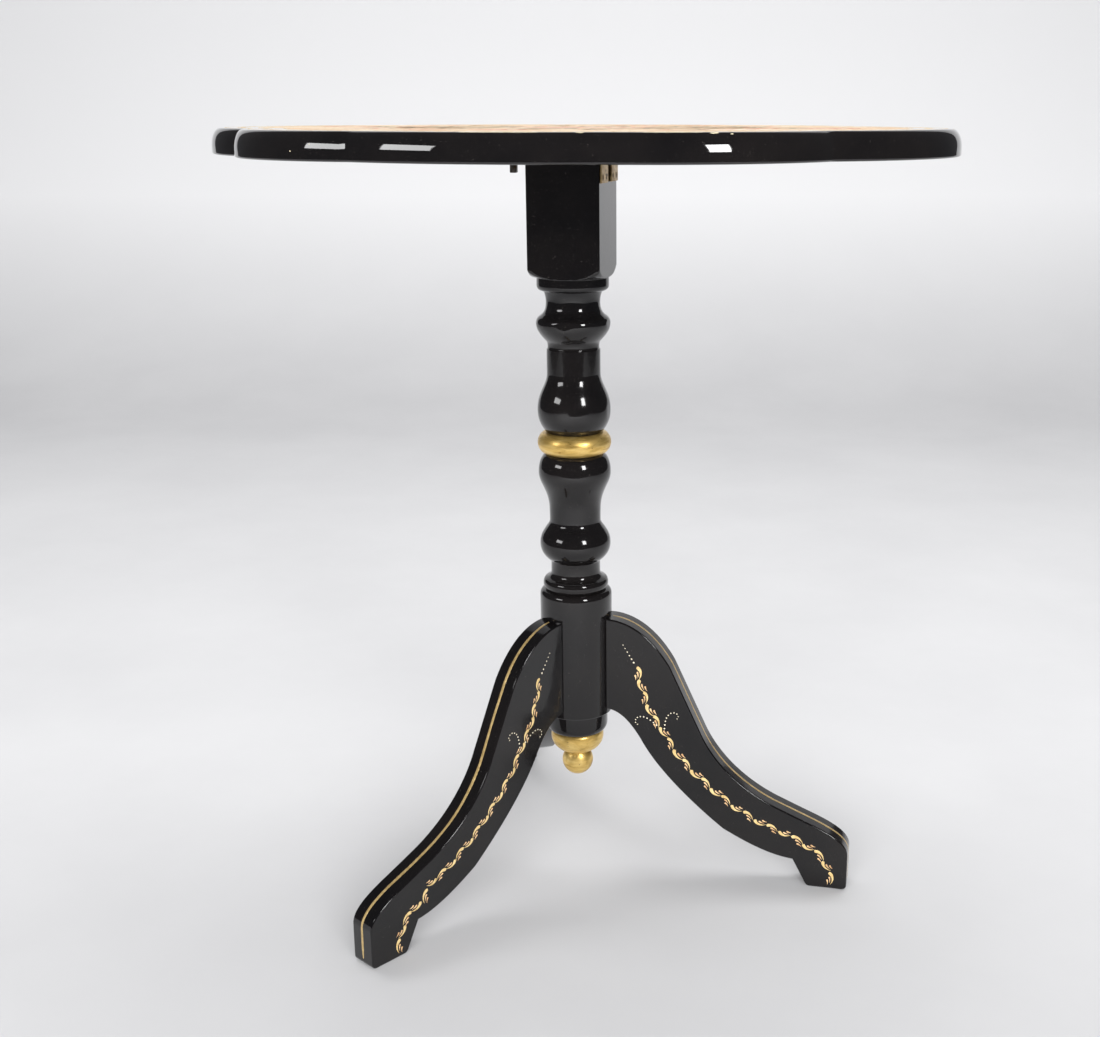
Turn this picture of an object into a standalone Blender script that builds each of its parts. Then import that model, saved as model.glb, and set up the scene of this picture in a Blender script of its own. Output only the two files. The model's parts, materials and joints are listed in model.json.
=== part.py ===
"""Tilt top table: a scalloped oval top hinged to a turned tripod pedestal.

Run with: blender --background --python part.py
The frame has its origin on the floor under the column, +Z up and +X towards the hinged side.
"""

import math

import bmesh
import bpy
from mathutils import Matrix, Vector
from mathutils.geometry import interpolate_bezier

MM = 0.001
GAP = 0.3 * MM               # clearance kept between pieces that touch

# Table top
TABLE_HEIGHT = 750 * MM
TOP_THICKNESS = 23.5 * MM
UNDERSIDE = TABLE_HEIGHT - TOP_THICKNESS
TOP_SHIFT = 5 * MM           # the top sits this far towards the hinged side
TOP_TURN = math.radians(-2.8)   # and is screwed on a little out of square with the block
RIM_ROUND = 9 * MM           # along the rim's upper edge
RIM_EASE = 2 * MM            # along its lower edge
END_NOTCH = (262 * MM, 160 * MM)
SIDE_NOTCH = (103.5 * MM, 271 * MM)
END_BULGE = 88.8 * MM
CORNER_BULGE = 29.3 * MM
SIDE_BULGE = 22.7 * MM

# Pedestal
TURNING_STEPS = 32
BLOCK_WIDTH = 70 * MM
BLOCK_TOP = UNDERSIDE - GAP
BLOCK_HALF = BLOCK_WIDTH / 2
COLLAR_RADIUS = 34.8 * MM
RING_TOP = 462 * MM
RING_BOTTOM = 440.6 * MM
TENON_RADIUS = 11 * MM
TENON_END = 402 * MM
DRUM_RADIUS = 36.2 * MM
DRUM_BOTTOM = 169.5 * MM
CAP_BOTTOM = 146.3 * MM
SPIGOT_RADIUS = 6 * MM
SPIGOT_END = 199 * MM
FINIAL_BALL_RADIUS = 16 * MM
FINIAL_BALL_HEIGHT = 111.3 * MM

# Legs
LEG_THICKNESS = 28 * MM
LEG_ANGLES = {"leg_right": 0, "leg_left": -120, "leg_back": 120}
TONGUE_BOTTOM = DRUM_BOTTOM + GAP
TONGUE_TOP = 258 * MM
TONGUE_INNER = 22 * MM       # distance of the tongue's inner face from the column's axis
TONGUE_OUTER = 40 * MM
TONGUE_NECK = 5 * MM         # half widths of the dovetail
TONGUE_TAIL = 7.5 * MM

# Butt hinges
HINGE_LENGTH = 25.4 * MM
HINGE_OFFSET = 20 * MM
LEAF_THICKNESS = 1.6 * MM
LEAF_WIDTH = 22 * MM
KNUCKLE_RADIUS = 3.2 * MM
BORE_RADIUS = 1.7 * MM
PIN_RADIUS = 1.4 * MM
AXIS_X = BLOCK_HALF + GAP + KNUCKLE_RADIUS
AXIS_Z = UNDERSIDE - GAP - KNUCKLE_RADIUS
HINGE_SCREW_SPREAD = 7 * MM
HINGE_SCREW_REACH = 16.5 * MM   # from the hinge's axis to its screws

# Countersunk screws
SCREW_HEAD_RADIUS = 3 * MM
SCREW_HEAD_DEPTH = 1.5 * MM
SCREW_SHANK_RADIUS = 1.4 * MM
SCREW_LENGTH = 13 * MM
SCREW_STEPS = 16
SLOT_WIDTH = 0.7 * MM
SLOT_DEPTH = 0.6 * MM

# Bolt catch under the top
BOLT_WIDTH = 9 * MM
BOLT_THICKNESS = 4.5 * MM
BOLT_MIDDLE = UNDERSIDE - 6.5 * MM
BOLT_TIP = -37.9 * MM
BOLT_TAIL = -82 * MM
BOLT_CLEARANCE = 0.4 * MM
TAB_X = -56.5 * MM
TAB_WIDTH = 6 * MM
TAB_BOTTOM = UNDERSIDE - 18 * MM
PLATE_THICKNESS = 1.5 * MM
HOUSING_FRONT = -62 * MM
HOUSING_BACK = -86 * MM
HOUSING_WIDTH = 15 * MM
HOUSING_BOTTOM = UNDERSIDE - 10.6 * MM
FLANGE_FRONT = -58 * MM
FLANGE_BACK = -90 * MM
FLANGE_WIDTH = 31 * MM
CATCH_SCREW_Y = 11.4 * MM
CATCH_SCREW_INSET = 5 * MM
STRIKE_WIDTH = 28 * MM
STRIKE_BOTTOM = UNDERSIDE - 21 * MM
STRIKE_TOP = UNDERSIDE - MM
STRIKE_SCREW_Y = 9.5 * MM
STRIKE_SCREW_Z = UNDERSIDE - 16 * MM
MORTISE_DEPTH = 12 * MM

parts = bpy.data.collections.new("tilt_top_table")
cutters = bpy.data.collections.new("cutters")


def clear_scene():
    for item in list(bpy.data.objects):
        bpy.data.objects.remove(item, do_unlink=True)
    bpy.context.scene.collection.children.link(parts)
    bpy.context.scene.collection.children.link(cutters)


def make_material(name, colour, roughness, metallic=0.0, coat=0.0):
    material = bpy.data.materials.new(name)
    material.use_nodes = True
    material.diffuse_color = (*colour, 1)
    shader = material.node_tree.nodes["Principled BSDF"]
    shader.inputs["Base Color"].default_value = (*colour, 1)
    shader.inputs["Roughness"].default_value = roughness
    shader.inputs["Metallic"].default_value = metallic
    shader.inputs["Coat Weight"].default_value = coat
    return material


def add_object(name, mesh, material=None, location=(0, 0, 0)):
    """Put a mesh in the parts, or among the cutters where it has no material."""
    item = bpy.data.objects.new(name, mesh)
    item.location = location
    if material is None:
        cutters.objects.link(item)
        item.hide_render = True
        item.display_type = "WIRE"
    else:
        parts.objects.link(item)
        item.data.materials.append(material)
    return item


def box(name, low, high, material=None):
    """A box between two corners, with its origin at its middle."""
    low, high = Vector(low), Vector(high)
    bm = bmesh.new()
    bmesh.ops.create_cube(bm, size=1, matrix=Matrix.Diagonal((*(high - low), 1)))
    mesh = bpy.data.meshes.new(name)
    bm.to_mesh(mesh)
    bm.free()
    return add_object(name, mesh, material, (low + high) / 2)


def cylinder(name, radius, length, centre, axis="Z", sides=24):
    turn = {"X": Matrix.Rotation(math.radians(90), 4, "Y"),
            "Y": Matrix.Rotation(math.radians(90), 4, "X"),
            "Z": Matrix.Identity(4)}[axis]
    bm = bmesh.new()
    bmesh.ops.create_cone(bm, cap_ends=True, segments=sides, radius1=radius, radius2=radius,
                          depth=length, matrix=turn)
    mesh = bpy.data.meshes.new(name)
    bm.to_mesh(mesh)
    bm.free()
    return add_object(name, mesh, location=centre)


def boolean(target, tool, operation="DIFFERENCE"):
    modifier = target.modifiers.new(operation.title(), "BOOLEAN")
    modifier.operation = operation
    modifier.solver = "EXACT"
    modifier.object = tool


def bevel(target, width, segments, limit="ANGLE"):
    modifier = target.modifiers.new("Bevel", "BEVEL")
    modifier.width = width
    modifier.segments = segments
    modifier.limit_method = limit
    modifier.angle_limit = math.radians(40)
    modifier.use_clamp_overlap = True


def turned(name, profile, material, closed=False, steps=TURNING_STEPS, location=(0, 0, 0)):
    """A lathe-turned piece: (radius, height) points revolved about Z."""
    count = len(profile)
    edges = [(i, i + 1) for i in range(count - 1)]
    if closed:
        edges.append((count - 1, 0))
    mesh = bpy.data.meshes.new(name)
    mesh.from_pydata([(radius, 0, height) for radius, height in profile], edges, [])
    item = add_object(name, mesh, material, location)
    screw = item.modifiers.new("Screw", "SCREW")
    screw.axis = "Z"
    screw.steps = steps
    screw.render_steps = steps
    screw.use_merge_vertices = True
    screw.merge_threshold = 0.00001
    screw.use_smooth_shade = False
    return item


def curve(start, handle_1, handle_2, end, count=6):
    """Points of a Bezier stretch after its start, given in millimetres."""
    knots = [Vector((x * MM, y * MM, 0)) for x, y in (start, handle_1, handle_2, end)]
    return [(point.x, point.y) for point in interpolate_bezier(*knots, count)[1:]]


def bead(inner, outer, middle, up, down, count=8):
    """Points down a rounded bead, elliptical above and below its widest place."""
    points = []
    for i in range(count + 1):
        angle = math.radians(90 - 180 * i / count)
        reach = up if angle > 0 else down
        points.append(((inner + (outer - inner) * math.cos(angle)) * MM,
                       (middle + reach * math.sin(angle)) * MM))
    return points


def at(radius, height):
    return (radius * MM, height * MM)


def rider(item, carrier):
    """Parent a placed piece to a moving empty without shifting the piece."""
    item.parent = carrier
    item.matrix_parent_inverse = Matrix.Translation(carrier.location).inverted()


# --- table top -------------------------------------------------------------------------------

def arc_between(start, end, bulge, count):
    """Points along the arc that leaves a chord by its bulge, the last point left out."""
    start, end = Vector(start), Vector(end)
    half = (end - start).length / 2
    radius = (half * half + bulge * bulge) / (2 * bulge)
    outward = Vector(((end - start).y, (start - end).x)).normalized()
    centre = (start + end) / 2 + outward * (bulge - radius)
    first = math.atan2(*(start - centre).yx)
    sweep = 2 * math.atan2(half, radius - bulge)
    return [centre + radius * Vector((math.cos(first + sweep * i / count),
                                      math.sin(first + sweep * i / count)))
            for i in range(count)]


def top_outline():
    """Eight lobes: two large ends, and a middle and two corner lobes along each side."""
    end_x, end_y = END_NOTCH
    side_x, side_y = SIDE_NOTCH
    notches = [(end_x, -end_y), (end_x, end_y), (side_x, side_y), (-side_x, side_y),
               (-end_x, end_y), (-end_x, -end_y), (-side_x, -side_y), (side_x, -side_y)]
    bulges = [END_BULGE, CORNER_BULGE, SIDE_BULGE, CORNER_BULGE] * 2
    counts = [18, 9, 9, 9] * 2
    points = []
    for i, (bulge, count) in enumerate(zip(bulges, counts)):
        points += arc_between(notches[i], notches[(i + 1) % 8], bulge, count)
    return points


def build_table_top(material, tilt):
    bm = bmesh.new()
    corners = [bm.verts.new((p.x, p.y, 0)) for p in top_outline()]
    bottom = bm.faces.new(corners)
    grown = bmesh.ops.extrude_face_region(bm, geom=[bottom])
    risen = [v for v in grown["geom"] if isinstance(v, bmesh.types.BMVert)]
    bmesh.ops.translate(bm, verts=risen, vec=(0, 0, TOP_THICKNESS))
    bmesh.ops.recalc_face_normals(bm, faces=bm.faces)
    weight = bm.edges.layers.float.new("bevel_weight_edge")
    for edge in bm.edges:
        low, high = sorted(vertex.co.z for vertex in edge.verts)
        if high - low < GAP:
            edge[weight] = 1.0 if low > GAP else RIM_EASE / RIM_ROUND
    mesh = bpy.data.meshes.new("table_top")
    bm.to_mesh(mesh)
    bm.free()
    top = add_object("table_top", mesh, material, (TOP_SHIFT, 0, UNDERSIDE))
    top.rotation_euler.z = TOP_TURN
    bevel(top, RIM_ROUND, 3, "WEIGHT")
    rider(top, tilt)
    return top


# --- pedestal --------------------------------------------------------------------------------

def build_pedestal_upper(material):
    """Square block and upper vase in one turning, with a round tenon below."""
    profile = [(0, BLOCK_TOP), (54 * MM, BLOCK_TOP), at(54, 629)]
    profile += curve((54, 629), (49, 618), (42, 613), (34.8, 612.6))
    profile += [(COLLAR_RADIUS, 603.5 * MM)]
    profile += curve((34.8, 603.5), (34.8, 601), (33, 600), (28.6, 599.6), 4)
    profile += curve((28.6, 599.6), (26.6, 596), (26, 591), (26.2, 588), 4)
    profile += curve((26.2, 588), (26.4, 581), (28.5, 578.6), (31.5, 576.3), 4)
    profile += curve((31.5, 576.3), (34.5, 574.2), (36, 572), (36, 568.6), 4)
    profile += curve((36, 568.6), (36, 562), (31, 556), (26.6, 551.6), 6)
    profile += curve((26.6, 551.6), (25.2, 550), (25, 548), (25, 545), 3)
    profile += [at(26.1, 543.6), at(26.1, 520)]
    profile += curve((26.1, 520), (26.1, 508), (35.8, 502), (35.8, 483.5), 8)
    profile += curve((35.8, 483.5), (35.8, 474), (32.5, 468), (28, 462.3), 6)
    profile += [(TENON_RADIUS, RING_TOP + GAP), (TENON_RADIUS, TENON_END), (0, TENON_END)]
    column = turned("pedestal_upper", profile, material)
    reach = 30 * MM
    side_low, side_high = 606 * MM, BLOCK_TOP + reach
    for i in range(4):
        side = box(f"block_face_{i}", (BLOCK_HALF, -3 * reach, side_low),
                   (BLOCK_HALF + reach, 3 * reach, side_high))
        side.location = Matrix.Rotation(math.radians(90 * i), 4, "Z") @ side.location
        side.rotation_euler.z = math.radians(90 * i)
        boolean(column, side)
    mortise_y = BOLT_WIDTH / 2 + BOLT_CLEARANCE + GAP
    mortise_z = BOLT_THICKNESS / 2 + BOLT_CLEARANCE + GAP
    mortise = box("bolt_mortise", (-BLOCK_HALF - reach, -mortise_y, BOLT_MIDDLE - mortise_z),
                  (-BLOCK_HALF + MORTISE_DEPTH, mortise_y, BOLT_MIDDLE + mortise_z))
    boolean(column, mortise)
    return column


def build_gilt_ring(material):
    bore = TENON_RADIUS + GAP
    middle = (RING_TOP + RING_BOTTOM) / 2 / MM
    half = (RING_TOP - RING_BOTTOM) / 2 / MM
    profile = [(bore, RING_TOP)]
    profile += bead(28.2, 36.2, middle, half, half, 10)
    profile += [(bore, RING_BOTTOM)]
    return turned("gilt_ring", profile, material, closed=True)


def build_pedestal_lower(material):
    """Lower vase and drum, with a socket at each end and three dovetail slots."""
    socket = TENON_RADIUS + GAP
    socket_end = TENON_END - 2 * MM
    top = RING_BOTTOM - GAP
    profile = [(0, socket_end), (socket, socket_end), (socket, top), (28.5 * MM, top)]
    profile += curve((28.5, 440.3), (32.5, 438), (35.8, 431), (35.8, 421), 6)
    profile += curve((35.8, 421), (35.8, 410), (26, 403), (25.6, 384), 8)
    profile += curve((25.6, 384), (25.4, 378), (25.4, 375), (25.4, 372), 2)
    profile += curve((25.4, 372), (25.6, 368), (28.5, 366), (30.5, 362.5), 4)
    profile += curve((30.5, 362.5), (33.5, 358), (35.3, 354), (35.3, 348.4), 5)
    profile += curve((35.3, 348.4), (35.3, 340), (31, 335), (25, 330.4), 6)
    profile += [at(24.6, 319)]
    profile += curve((24.6, 319), (24.8, 315), (27, 313), (30.2, 312), 4)
    profile += bead(30.2, 32.7, 306.5, 5.2, 5.2, 5)
    profile += [at(31.6, 300.6)]
    profile += curve((31.6, 300.6), (34, 300.4), (36.2, 298), (36.2, 294), 4)
    profile += [(DRUM_RADIUS, DRUM_BOTTOM)]
    profile += [(SPIGOT_RADIUS + GAP, DRUM_BOTTOM), (SPIGOT_RADIUS + GAP, SPIGOT_END + 2 * MM)]
    profile += [(0, SPIGOT_END + 2 * MM)]
    column = turned("pedestal_lower", profile, material)
    for name, angle in LEG_ANGLES.items():
        slot = dovetail(f"slot_for_{name}", GAP, DRUM_BOTTOM - 10 * MM, TONGUE_TOP + GAP)
        slot.rotation_euler.z = math.radians(angle)
        boolean(column, slot)
    return column


def build_foot_cap(material):
    bore = SPIGOT_RADIUS + GAP
    top = DRUM_BOTTOM - GAP
    profile = [(bore, top), (31.4 * MM, top), at(31.4, 155)]
    profile += curve((31.4, 155), (31.2, 150.5), (29.6, 148), (26.6, 146.3), 6)
    profile += [(bore, CAP_BOTTOM)]
    return turned("pedestal_foot_cap", profile, material, closed=True)


def build_finial(material):
    """Gilt drop: a dished disc, a waist and a ball, with a spigot up into the drum."""
    top = CAP_BOTTOM - GAP
    profile = [(0, SPIGOT_END), (SPIGOT_RADIUS, SPIGOT_END), (SPIGOT_RADIUS, top)]
    profile += [(24.5 * MM, top)]
    profile += curve((24.5, top / MM), (26.5, 146), (27.1, 142.5), (27.1, 139.4), 5)
    profile += curve((27.1, 139.4), (27.1, 133), (23, 127.5), (17.5, 124.6), 7)
    profile += curve((17.5, 124.6), (14.5, 123.2), (12.4, 122.8), (12.3, 121.5), 4)
    for i in range(1, 10):
        angle = math.radians(39.6 - 129.6 * i / 9)
        profile.append((FINIAL_BALL_RADIUS * math.cos(angle) if i < 9 else 0,
                        FINIAL_BALL_HEIGHT + FINIAL_BALL_RADIUS * math.sin(angle)))
    return turned("drop_finial", profile, material)


# --- legs ------------------------------------------------------------------------------------

def dovetail(name, margin, bottom, top, material=None):
    """A wedge along X whose inner end is the wider one, grown by a margin all round."""
    bm = bmesh.new()
    neck, tail = TONGUE_NECK + margin, TONGUE_TAIL + margin
    inner, outer = TONGUE_INNER - margin, TONGUE_OUTER
    bmesh.ops.create_cube(bm, size=1)
    for vertex in bm.verts:
        width = tail if vertex.co.x < 0 else neck
        vertex.co.x = inner if vertex.co.x < 0 else outer
        vertex.co.y = math.copysign(width, vertex.co.y)
        vertex.co.z = bottom if vertex.co.z < 0 else top
    mesh = bpy.data.meshes.new(name)
    bm.to_mesh(mesh)
    bm.free()
    return add_object(name, mesh, material)


def leg_outline():
    """Side view of a leg in (distance from the column's axis, height), starting at the drum."""
    points = [at(30, 273)]
    points += [at(36, 273)]
    points += curve((36, 273), (64, 272), (86, 251), (100.5, 226), 9)
    points += curve((100.5, 226), (110, 206), (121, 182), (131, 161), 4)
    points += curve((131, 161), (146, 126), (177, 98), (215, 82.7), 9)
    points += curve((215, 82.7), (227, 77.5), (239, 72.5), (250, 68), 3)
    points += curve((250, 68), (266, 61), (284.6, 52), (284.6, 38), 7)
    points += [at(284.6, 5)]
    points += curve((284.6, 5), (284.6, 2), (282.6, 0), (279.6, 0), 3)
    points += [at(246, 0), at(242.4, 3), at(229, 28.5)]
    points += curve((229, 28.5), (205, 30), (180, 42), (157, 54.3), 6)
    points += curve((157, 54.3), (130, 75), (88, 112), (70, 146), 8)
    points += curve((70, 146), (60, 162), (50, 174), (36, 176), 6)
    points += [at(30, 176)]
    return points


def build_leg(name, angle, material):
    bm = bmesh.new()
    corners = [bm.verts.new((x, -LEG_THICKNESS / 2, z)) for x, z in leg_outline()]
    side = bm.faces.new(corners)
    grown = bmesh.ops.extrude_face_region(bm, geom=[side])
    moved = [v for v in grown["geom"] if isinstance(v, bmesh.types.BMVert)]
    bmesh.ops.translate(bm, verts=moved, vec=(0, LEG_THICKNESS, 0))
    bmesh.ops.recalc_face_normals(bm, faces=bm.faces)
    mesh = bpy.data.meshes.new(name)
    bm.to_mesh(mesh)
    bm.free()
    leg = add_object(name, mesh, material)
    leg.rotation_euler.z = math.radians(angle)
    bevel(leg, 1.5 * MM, 2)
    cope = cylinder(f"{name}_cope", DRUM_RADIUS + GAP, 200 * MM, (0, 0, 220 * MM), sides=TURNING_STEPS)
    boolean(leg, cope)
    tongue = dovetail(f"{name}_tongue", 0, TONGUE_BOTTOM, TONGUE_TOP)
    tongue.rotation_euler.z = math.radians(angle)
    boolean(leg, tongue, "UNION")
    return leg


# --- screws ----------------------------------------------------------------------------------

def screw_hole(name, head, direction):
    """Cutter for a countersunk hole: the screw's own shape with a clearance, open at the head."""
    profile = [(0, 2 * MM), (SCREW_HEAD_RADIUS + GAP, 2 * MM), (SCREW_HEAD_RADIUS + GAP, 0),
               (SCREW_SHANK_RADIUS + GAP, -SCREW_HEAD_DEPTH - GAP),
               (SCREW_SHANK_RADIUS + GAP, -SCREW_LENGTH - GAP), (0, -SCREW_LENGTH - GAP)]
    cutter = turned(name, profile, None, steps=SCREW_STEPS, location=head)
    cutter.rotation_euler = Vector(direction).to_track_quat("-Z", "Y").to_euler()
    return cutter


def build_screw(name, head, direction, material, holes_in, carrier=None):
    """A slotted countersunk wood screw, with its clearance cut in the pieces it passes."""
    tip = SCREW_SHANK_RADIUS * 1.5
    profile = [(0, 0), (SCREW_HEAD_RADIUS, 0), (SCREW_HEAD_RADIUS, -0.2 * MM),
               (SCREW_SHANK_RADIUS, -SCREW_HEAD_DEPTH),
               (SCREW_SHANK_RADIUS, -SCREW_LENGTH + tip), (0, -SCREW_LENGTH)]
    screw = turned(name, profile, material, steps=SCREW_STEPS, location=head)
    screw.rotation_euler = Vector(direction).to_track_quat("-Z", "Y").to_euler()
    reach = 2 * SCREW_HEAD_RADIUS
    slot = box(f"{name}_slot", (-reach, -SLOT_WIDTH / 2, -SLOT_DEPTH), (reach, SLOT_WIDTH / 2, 2 * MM))
    slot.location = screw.rotation_euler.to_matrix() @ slot.location + Vector(head)
    slot.rotation_euler = screw.rotation_euler
    boolean(screw, slot)
    hole = screw_hole(f"{name}_hole", head, direction)
    for piece in holes_in:
        boolean(piece, hole)
    if carrier:
        rider(screw, carrier)
    return screw


# --- hinges ----------------------------------------------------------------------------------

def build_leaf(name, centre_y, knuckles, on_top, material):
    """One hinge leaf: a plate, straps to its knuckles and a bore for the pin."""
    third = HINGE_LENGTH / 3
    clear = KNUCKLE_RADIUS + GAP
    low_y, high_y = centre_y - HINGE_LENGTH / 2, centre_y + HINGE_LENGTH / 2
    if on_top:
        face = UNDERSIDE - GAP
        leaf = box(name, (AXIS_X + clear, low_y, face - LEAF_THICKNESS),
                   (AXIS_X + LEAF_WIDTH, high_y, face), material)
    else:
        face = BLOCK_HALF + GAP
        leaf = box(name, (face, low_y, AXIS_Z - LEAF_WIDTH),
                   (face + LEAF_THICKNESS, high_y, AXIS_Z - clear), material)
    for index in knuckles:
        start = low_y + index * third + (GAP / 2 if index > 0 else 0)
        stop = low_y + (index + 1) * third - (GAP / 2 if index < 2 else 0)
        if on_top:
            strap = box(f"{name}_strap_{index}", (AXIS_X, start, face - LEAF_THICKNESS),
                        (AXIS_X + clear + MM, stop, face))
        else:
            strap = box(f"{name}_strap_{index}", (face, start, AXIS_Z - clear - MM),
                        (face + LEAF_THICKNESS, stop, AXIS_Z))
        barrel = cylinder(f"{name}_knuckle_{index}", KNUCKLE_RADIUS, stop - start,
                          (AXIS_X, (start + stop) / 2, AXIS_Z), "Y", 20)
        boolean(leaf, strap, "UNION")
        boolean(leaf, barrel, "UNION")
    bore = cylinder(f"{name}_bore", BORE_RADIUS, 2 * HINGE_LENGTH, (AXIS_X, centre_y, AXIS_Z), "Y", 16)
    boolean(leaf, bore)
    return leaf


def build_hinge(label, centre_y, brass, steel, column, top, tilt):
    block_leaf = build_leaf(f"{label}_block_leaf", centre_y, (0, 2), False, brass)
    top_leaf = build_leaf(f"{label}_top_leaf", centre_y, (1,), True, brass)
    rider(top_leaf, tilt)
    half = HINGE_LENGTH / 2 + GAP
    head = 2.3 * MM
    profile = [(0, half + MM), (head * 0.6, half + 0.9 * MM), (head, half + 0.3 * MM), (head, half),
               (PIN_RADIUS, half), (PIN_RADIUS, -half), (head, -half), (head, -half - 0.3 * MM),
               (head * 0.6, -half - 0.9 * MM), (0, -half - MM)]
    pin = turned(f"{label}_pin", profile, brass, steps=16, location=(AXIS_X, centre_y, AXIS_Z))
    pin.rotation_euler.x = math.radians(90)
    for number, side in enumerate((-1, 1), start=1):
        place_y = centre_y + side * HINGE_SCREW_SPREAD
        build_screw(f"{label}_block_screw_{number}",
                    (BLOCK_HALF + GAP + LEAF_THICKNESS, place_y, AXIS_Z - HINGE_SCREW_REACH),
                    (-1, 0, 0), steel, (block_leaf, column))
        build_screw(f"{label}_top_screw_{number}",
                    (AXIS_X + HINGE_SCREW_REACH, place_y, UNDERSIDE - GAP - LEAF_THICKNESS),
                    (0, 0, 1), steel, (top_leaf, top), tilt)


# --- catch -----------------------------------------------------------------------------------

def build_catch(brass, dark, steel, column, top, tilt):
    """A sliding bolt under the top that shoots into a strike plate on the block."""
    face = UNDERSIDE - GAP
    half_bolt = BOLT_THICKNESS / 2
    flange = box("catch_housing", (FLANGE_BACK, -FLANGE_WIDTH / 2, face - PLATE_THICKNESS),
                 (FLANGE_FRONT, FLANGE_WIDTH / 2, face), brass)
    tunnel = box("catch_tunnel", (HOUSING_BACK, -HOUSING_WIDTH / 2, HOUSING_BOTTOM),
                 (HOUSING_FRONT, HOUSING_WIDTH / 2, face - PLATE_THICKNESS / 2))
    boolean(flange, tunnel, "UNION")
    channel_y = BOLT_WIDTH / 2 + BOLT_CLEARANCE
    channel_z = half_bolt + BOLT_CLEARANCE
    channel = box("catch_channel", (HOUSING_BACK + 2 * MM, -channel_y, BOLT_MIDDLE - channel_z),
                  (FLANGE_FRONT + 10 * MM, channel_y, BOLT_MIDDLE + channel_z))
    boolean(flange, channel)
    rider(flange, tilt)

    bolt = box("catch_bolt", (BOLT_TAIL, -BOLT_WIDTH / 2, BOLT_MIDDLE - half_bolt),
               (BOLT_TIP, BOLT_WIDTH / 2, BOLT_MIDDLE + half_bolt), dark)
    tab = box("catch_tab", (TAB_X - TAB_WIDTH / 2, -BOLT_WIDTH / 2 + MM, TAB_BOTTOM),
              (TAB_X + TAB_WIDTH / 2, BOLT_WIDTH / 2 - MM, BOLT_MIDDLE))
    boolean(bolt, tab, "UNION")
    rider(bolt, tilt)

    number = 0
    for place_x in (FLANGE_BACK + CATCH_SCREW_INSET, FLANGE_FRONT - CATCH_SCREW_INSET):
        for place_y in (-CATCH_SCREW_Y, CATCH_SCREW_Y):
            number += 1
            build_screw(f"catch_screw_{number}", (place_x, place_y, face - PLATE_THICKNESS),
                        (0, 0, 1), steel, (flange, top), tilt)

    strike_face = -BLOCK_HALF - GAP
    strike = box("strike_plate", (strike_face - PLATE_THICKNESS, -STRIKE_WIDTH / 2, STRIKE_BOTTOM),
                 (strike_face, STRIKE_WIDTH / 2, STRIKE_TOP), brass)
    window = box("strike_window", (-BLOCK_HALF - 10 * MM, -channel_y, BOLT_MIDDLE - channel_z),
                 (-BLOCK_HALF + 5 * MM, channel_y, BOLT_MIDDLE + channel_z))
    boolean(strike, window)
    for number, side in enumerate((-1, 1), start=1):
        build_screw(f"strike_screw_{number}",
                    (strike_face - PLATE_THICKNESS, side * STRIKE_SCREW_Y, STRIKE_SCREW_Z),
                    (1, 0, 0), steel, (strike, column))


def main():
    clear_scene()
    lacquer = make_material("black_lacquer", (0.012, 0.011, 0.012), 0.12, coat=1.0)
    painted = make_material("painted_top", (0.10, 0.07, 0.05), 0.18, coat=1.0)
    gilt = make_material("gilt", (0.62, 0.40, 0.12), 0.32, metallic=0.9)
    brass = make_material("brass", (0.55, 0.38, 0.15), 0.35, metallic=1.0)
    dark = make_material("dark_steel", (0.05, 0.045, 0.04), 0.45, metallic=1.0)
    steel = make_material("screw_brass", (0.50, 0.36, 0.16), 0.40, metallic=1.0)

    tilt = bpy.data.objects.new("tilt_axis", None)
    tilt.location = (AXIS_X, 0, AXIS_Z)
    parts.objects.link(tilt)

    top = build_table_top(painted, tilt)
    column = build_pedestal_upper(lacquer)
    build_gilt_ring(gilt)
    build_pedestal_lower(lacquer)
    build_foot_cap(lacquer)
    build_finial(gilt)
    for name, angle in LEG_ANGLES.items():
        build_leg(name, angle, lacquer)
    build_hinge("hinge_front", -HINGE_OFFSET, brass, steel, column, top, tilt)
    build_hinge("hinge_back", HINGE_OFFSET, brass, steel, column, top, tilt)
    build_catch(brass, dark, steel, column, top, tilt)


main()
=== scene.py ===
import json
import math
import random

import bmesh
import bpy
from mathutils import Matrix, Vector
from mathutils.geometry import interpolate_bezier


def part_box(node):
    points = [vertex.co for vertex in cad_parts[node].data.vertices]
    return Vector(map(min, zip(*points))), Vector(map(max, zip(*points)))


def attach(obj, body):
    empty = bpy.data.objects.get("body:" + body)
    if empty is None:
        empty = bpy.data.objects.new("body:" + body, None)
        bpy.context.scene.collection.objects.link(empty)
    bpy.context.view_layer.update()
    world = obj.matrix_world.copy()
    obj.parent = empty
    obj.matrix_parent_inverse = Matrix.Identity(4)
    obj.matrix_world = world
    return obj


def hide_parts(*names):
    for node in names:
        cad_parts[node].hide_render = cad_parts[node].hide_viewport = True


# Looks of the tilt top table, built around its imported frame: a scalloped oval top with a painted
# field, a black lacquered and gilt turned column, and three legs with gold lines and painted vines.
# The frame's origin is on the floor under the column, +Z up, +X towards the hinges and leg_right.

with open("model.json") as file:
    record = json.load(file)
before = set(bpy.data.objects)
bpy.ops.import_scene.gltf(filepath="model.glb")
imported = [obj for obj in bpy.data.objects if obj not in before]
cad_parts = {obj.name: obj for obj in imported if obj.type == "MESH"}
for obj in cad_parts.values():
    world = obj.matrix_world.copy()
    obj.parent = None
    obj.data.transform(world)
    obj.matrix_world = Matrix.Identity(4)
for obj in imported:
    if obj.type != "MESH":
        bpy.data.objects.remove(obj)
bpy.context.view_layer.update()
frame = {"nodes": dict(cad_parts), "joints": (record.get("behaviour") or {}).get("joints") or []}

MM = 0.001
GAP = 0.3 * MM

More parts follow.
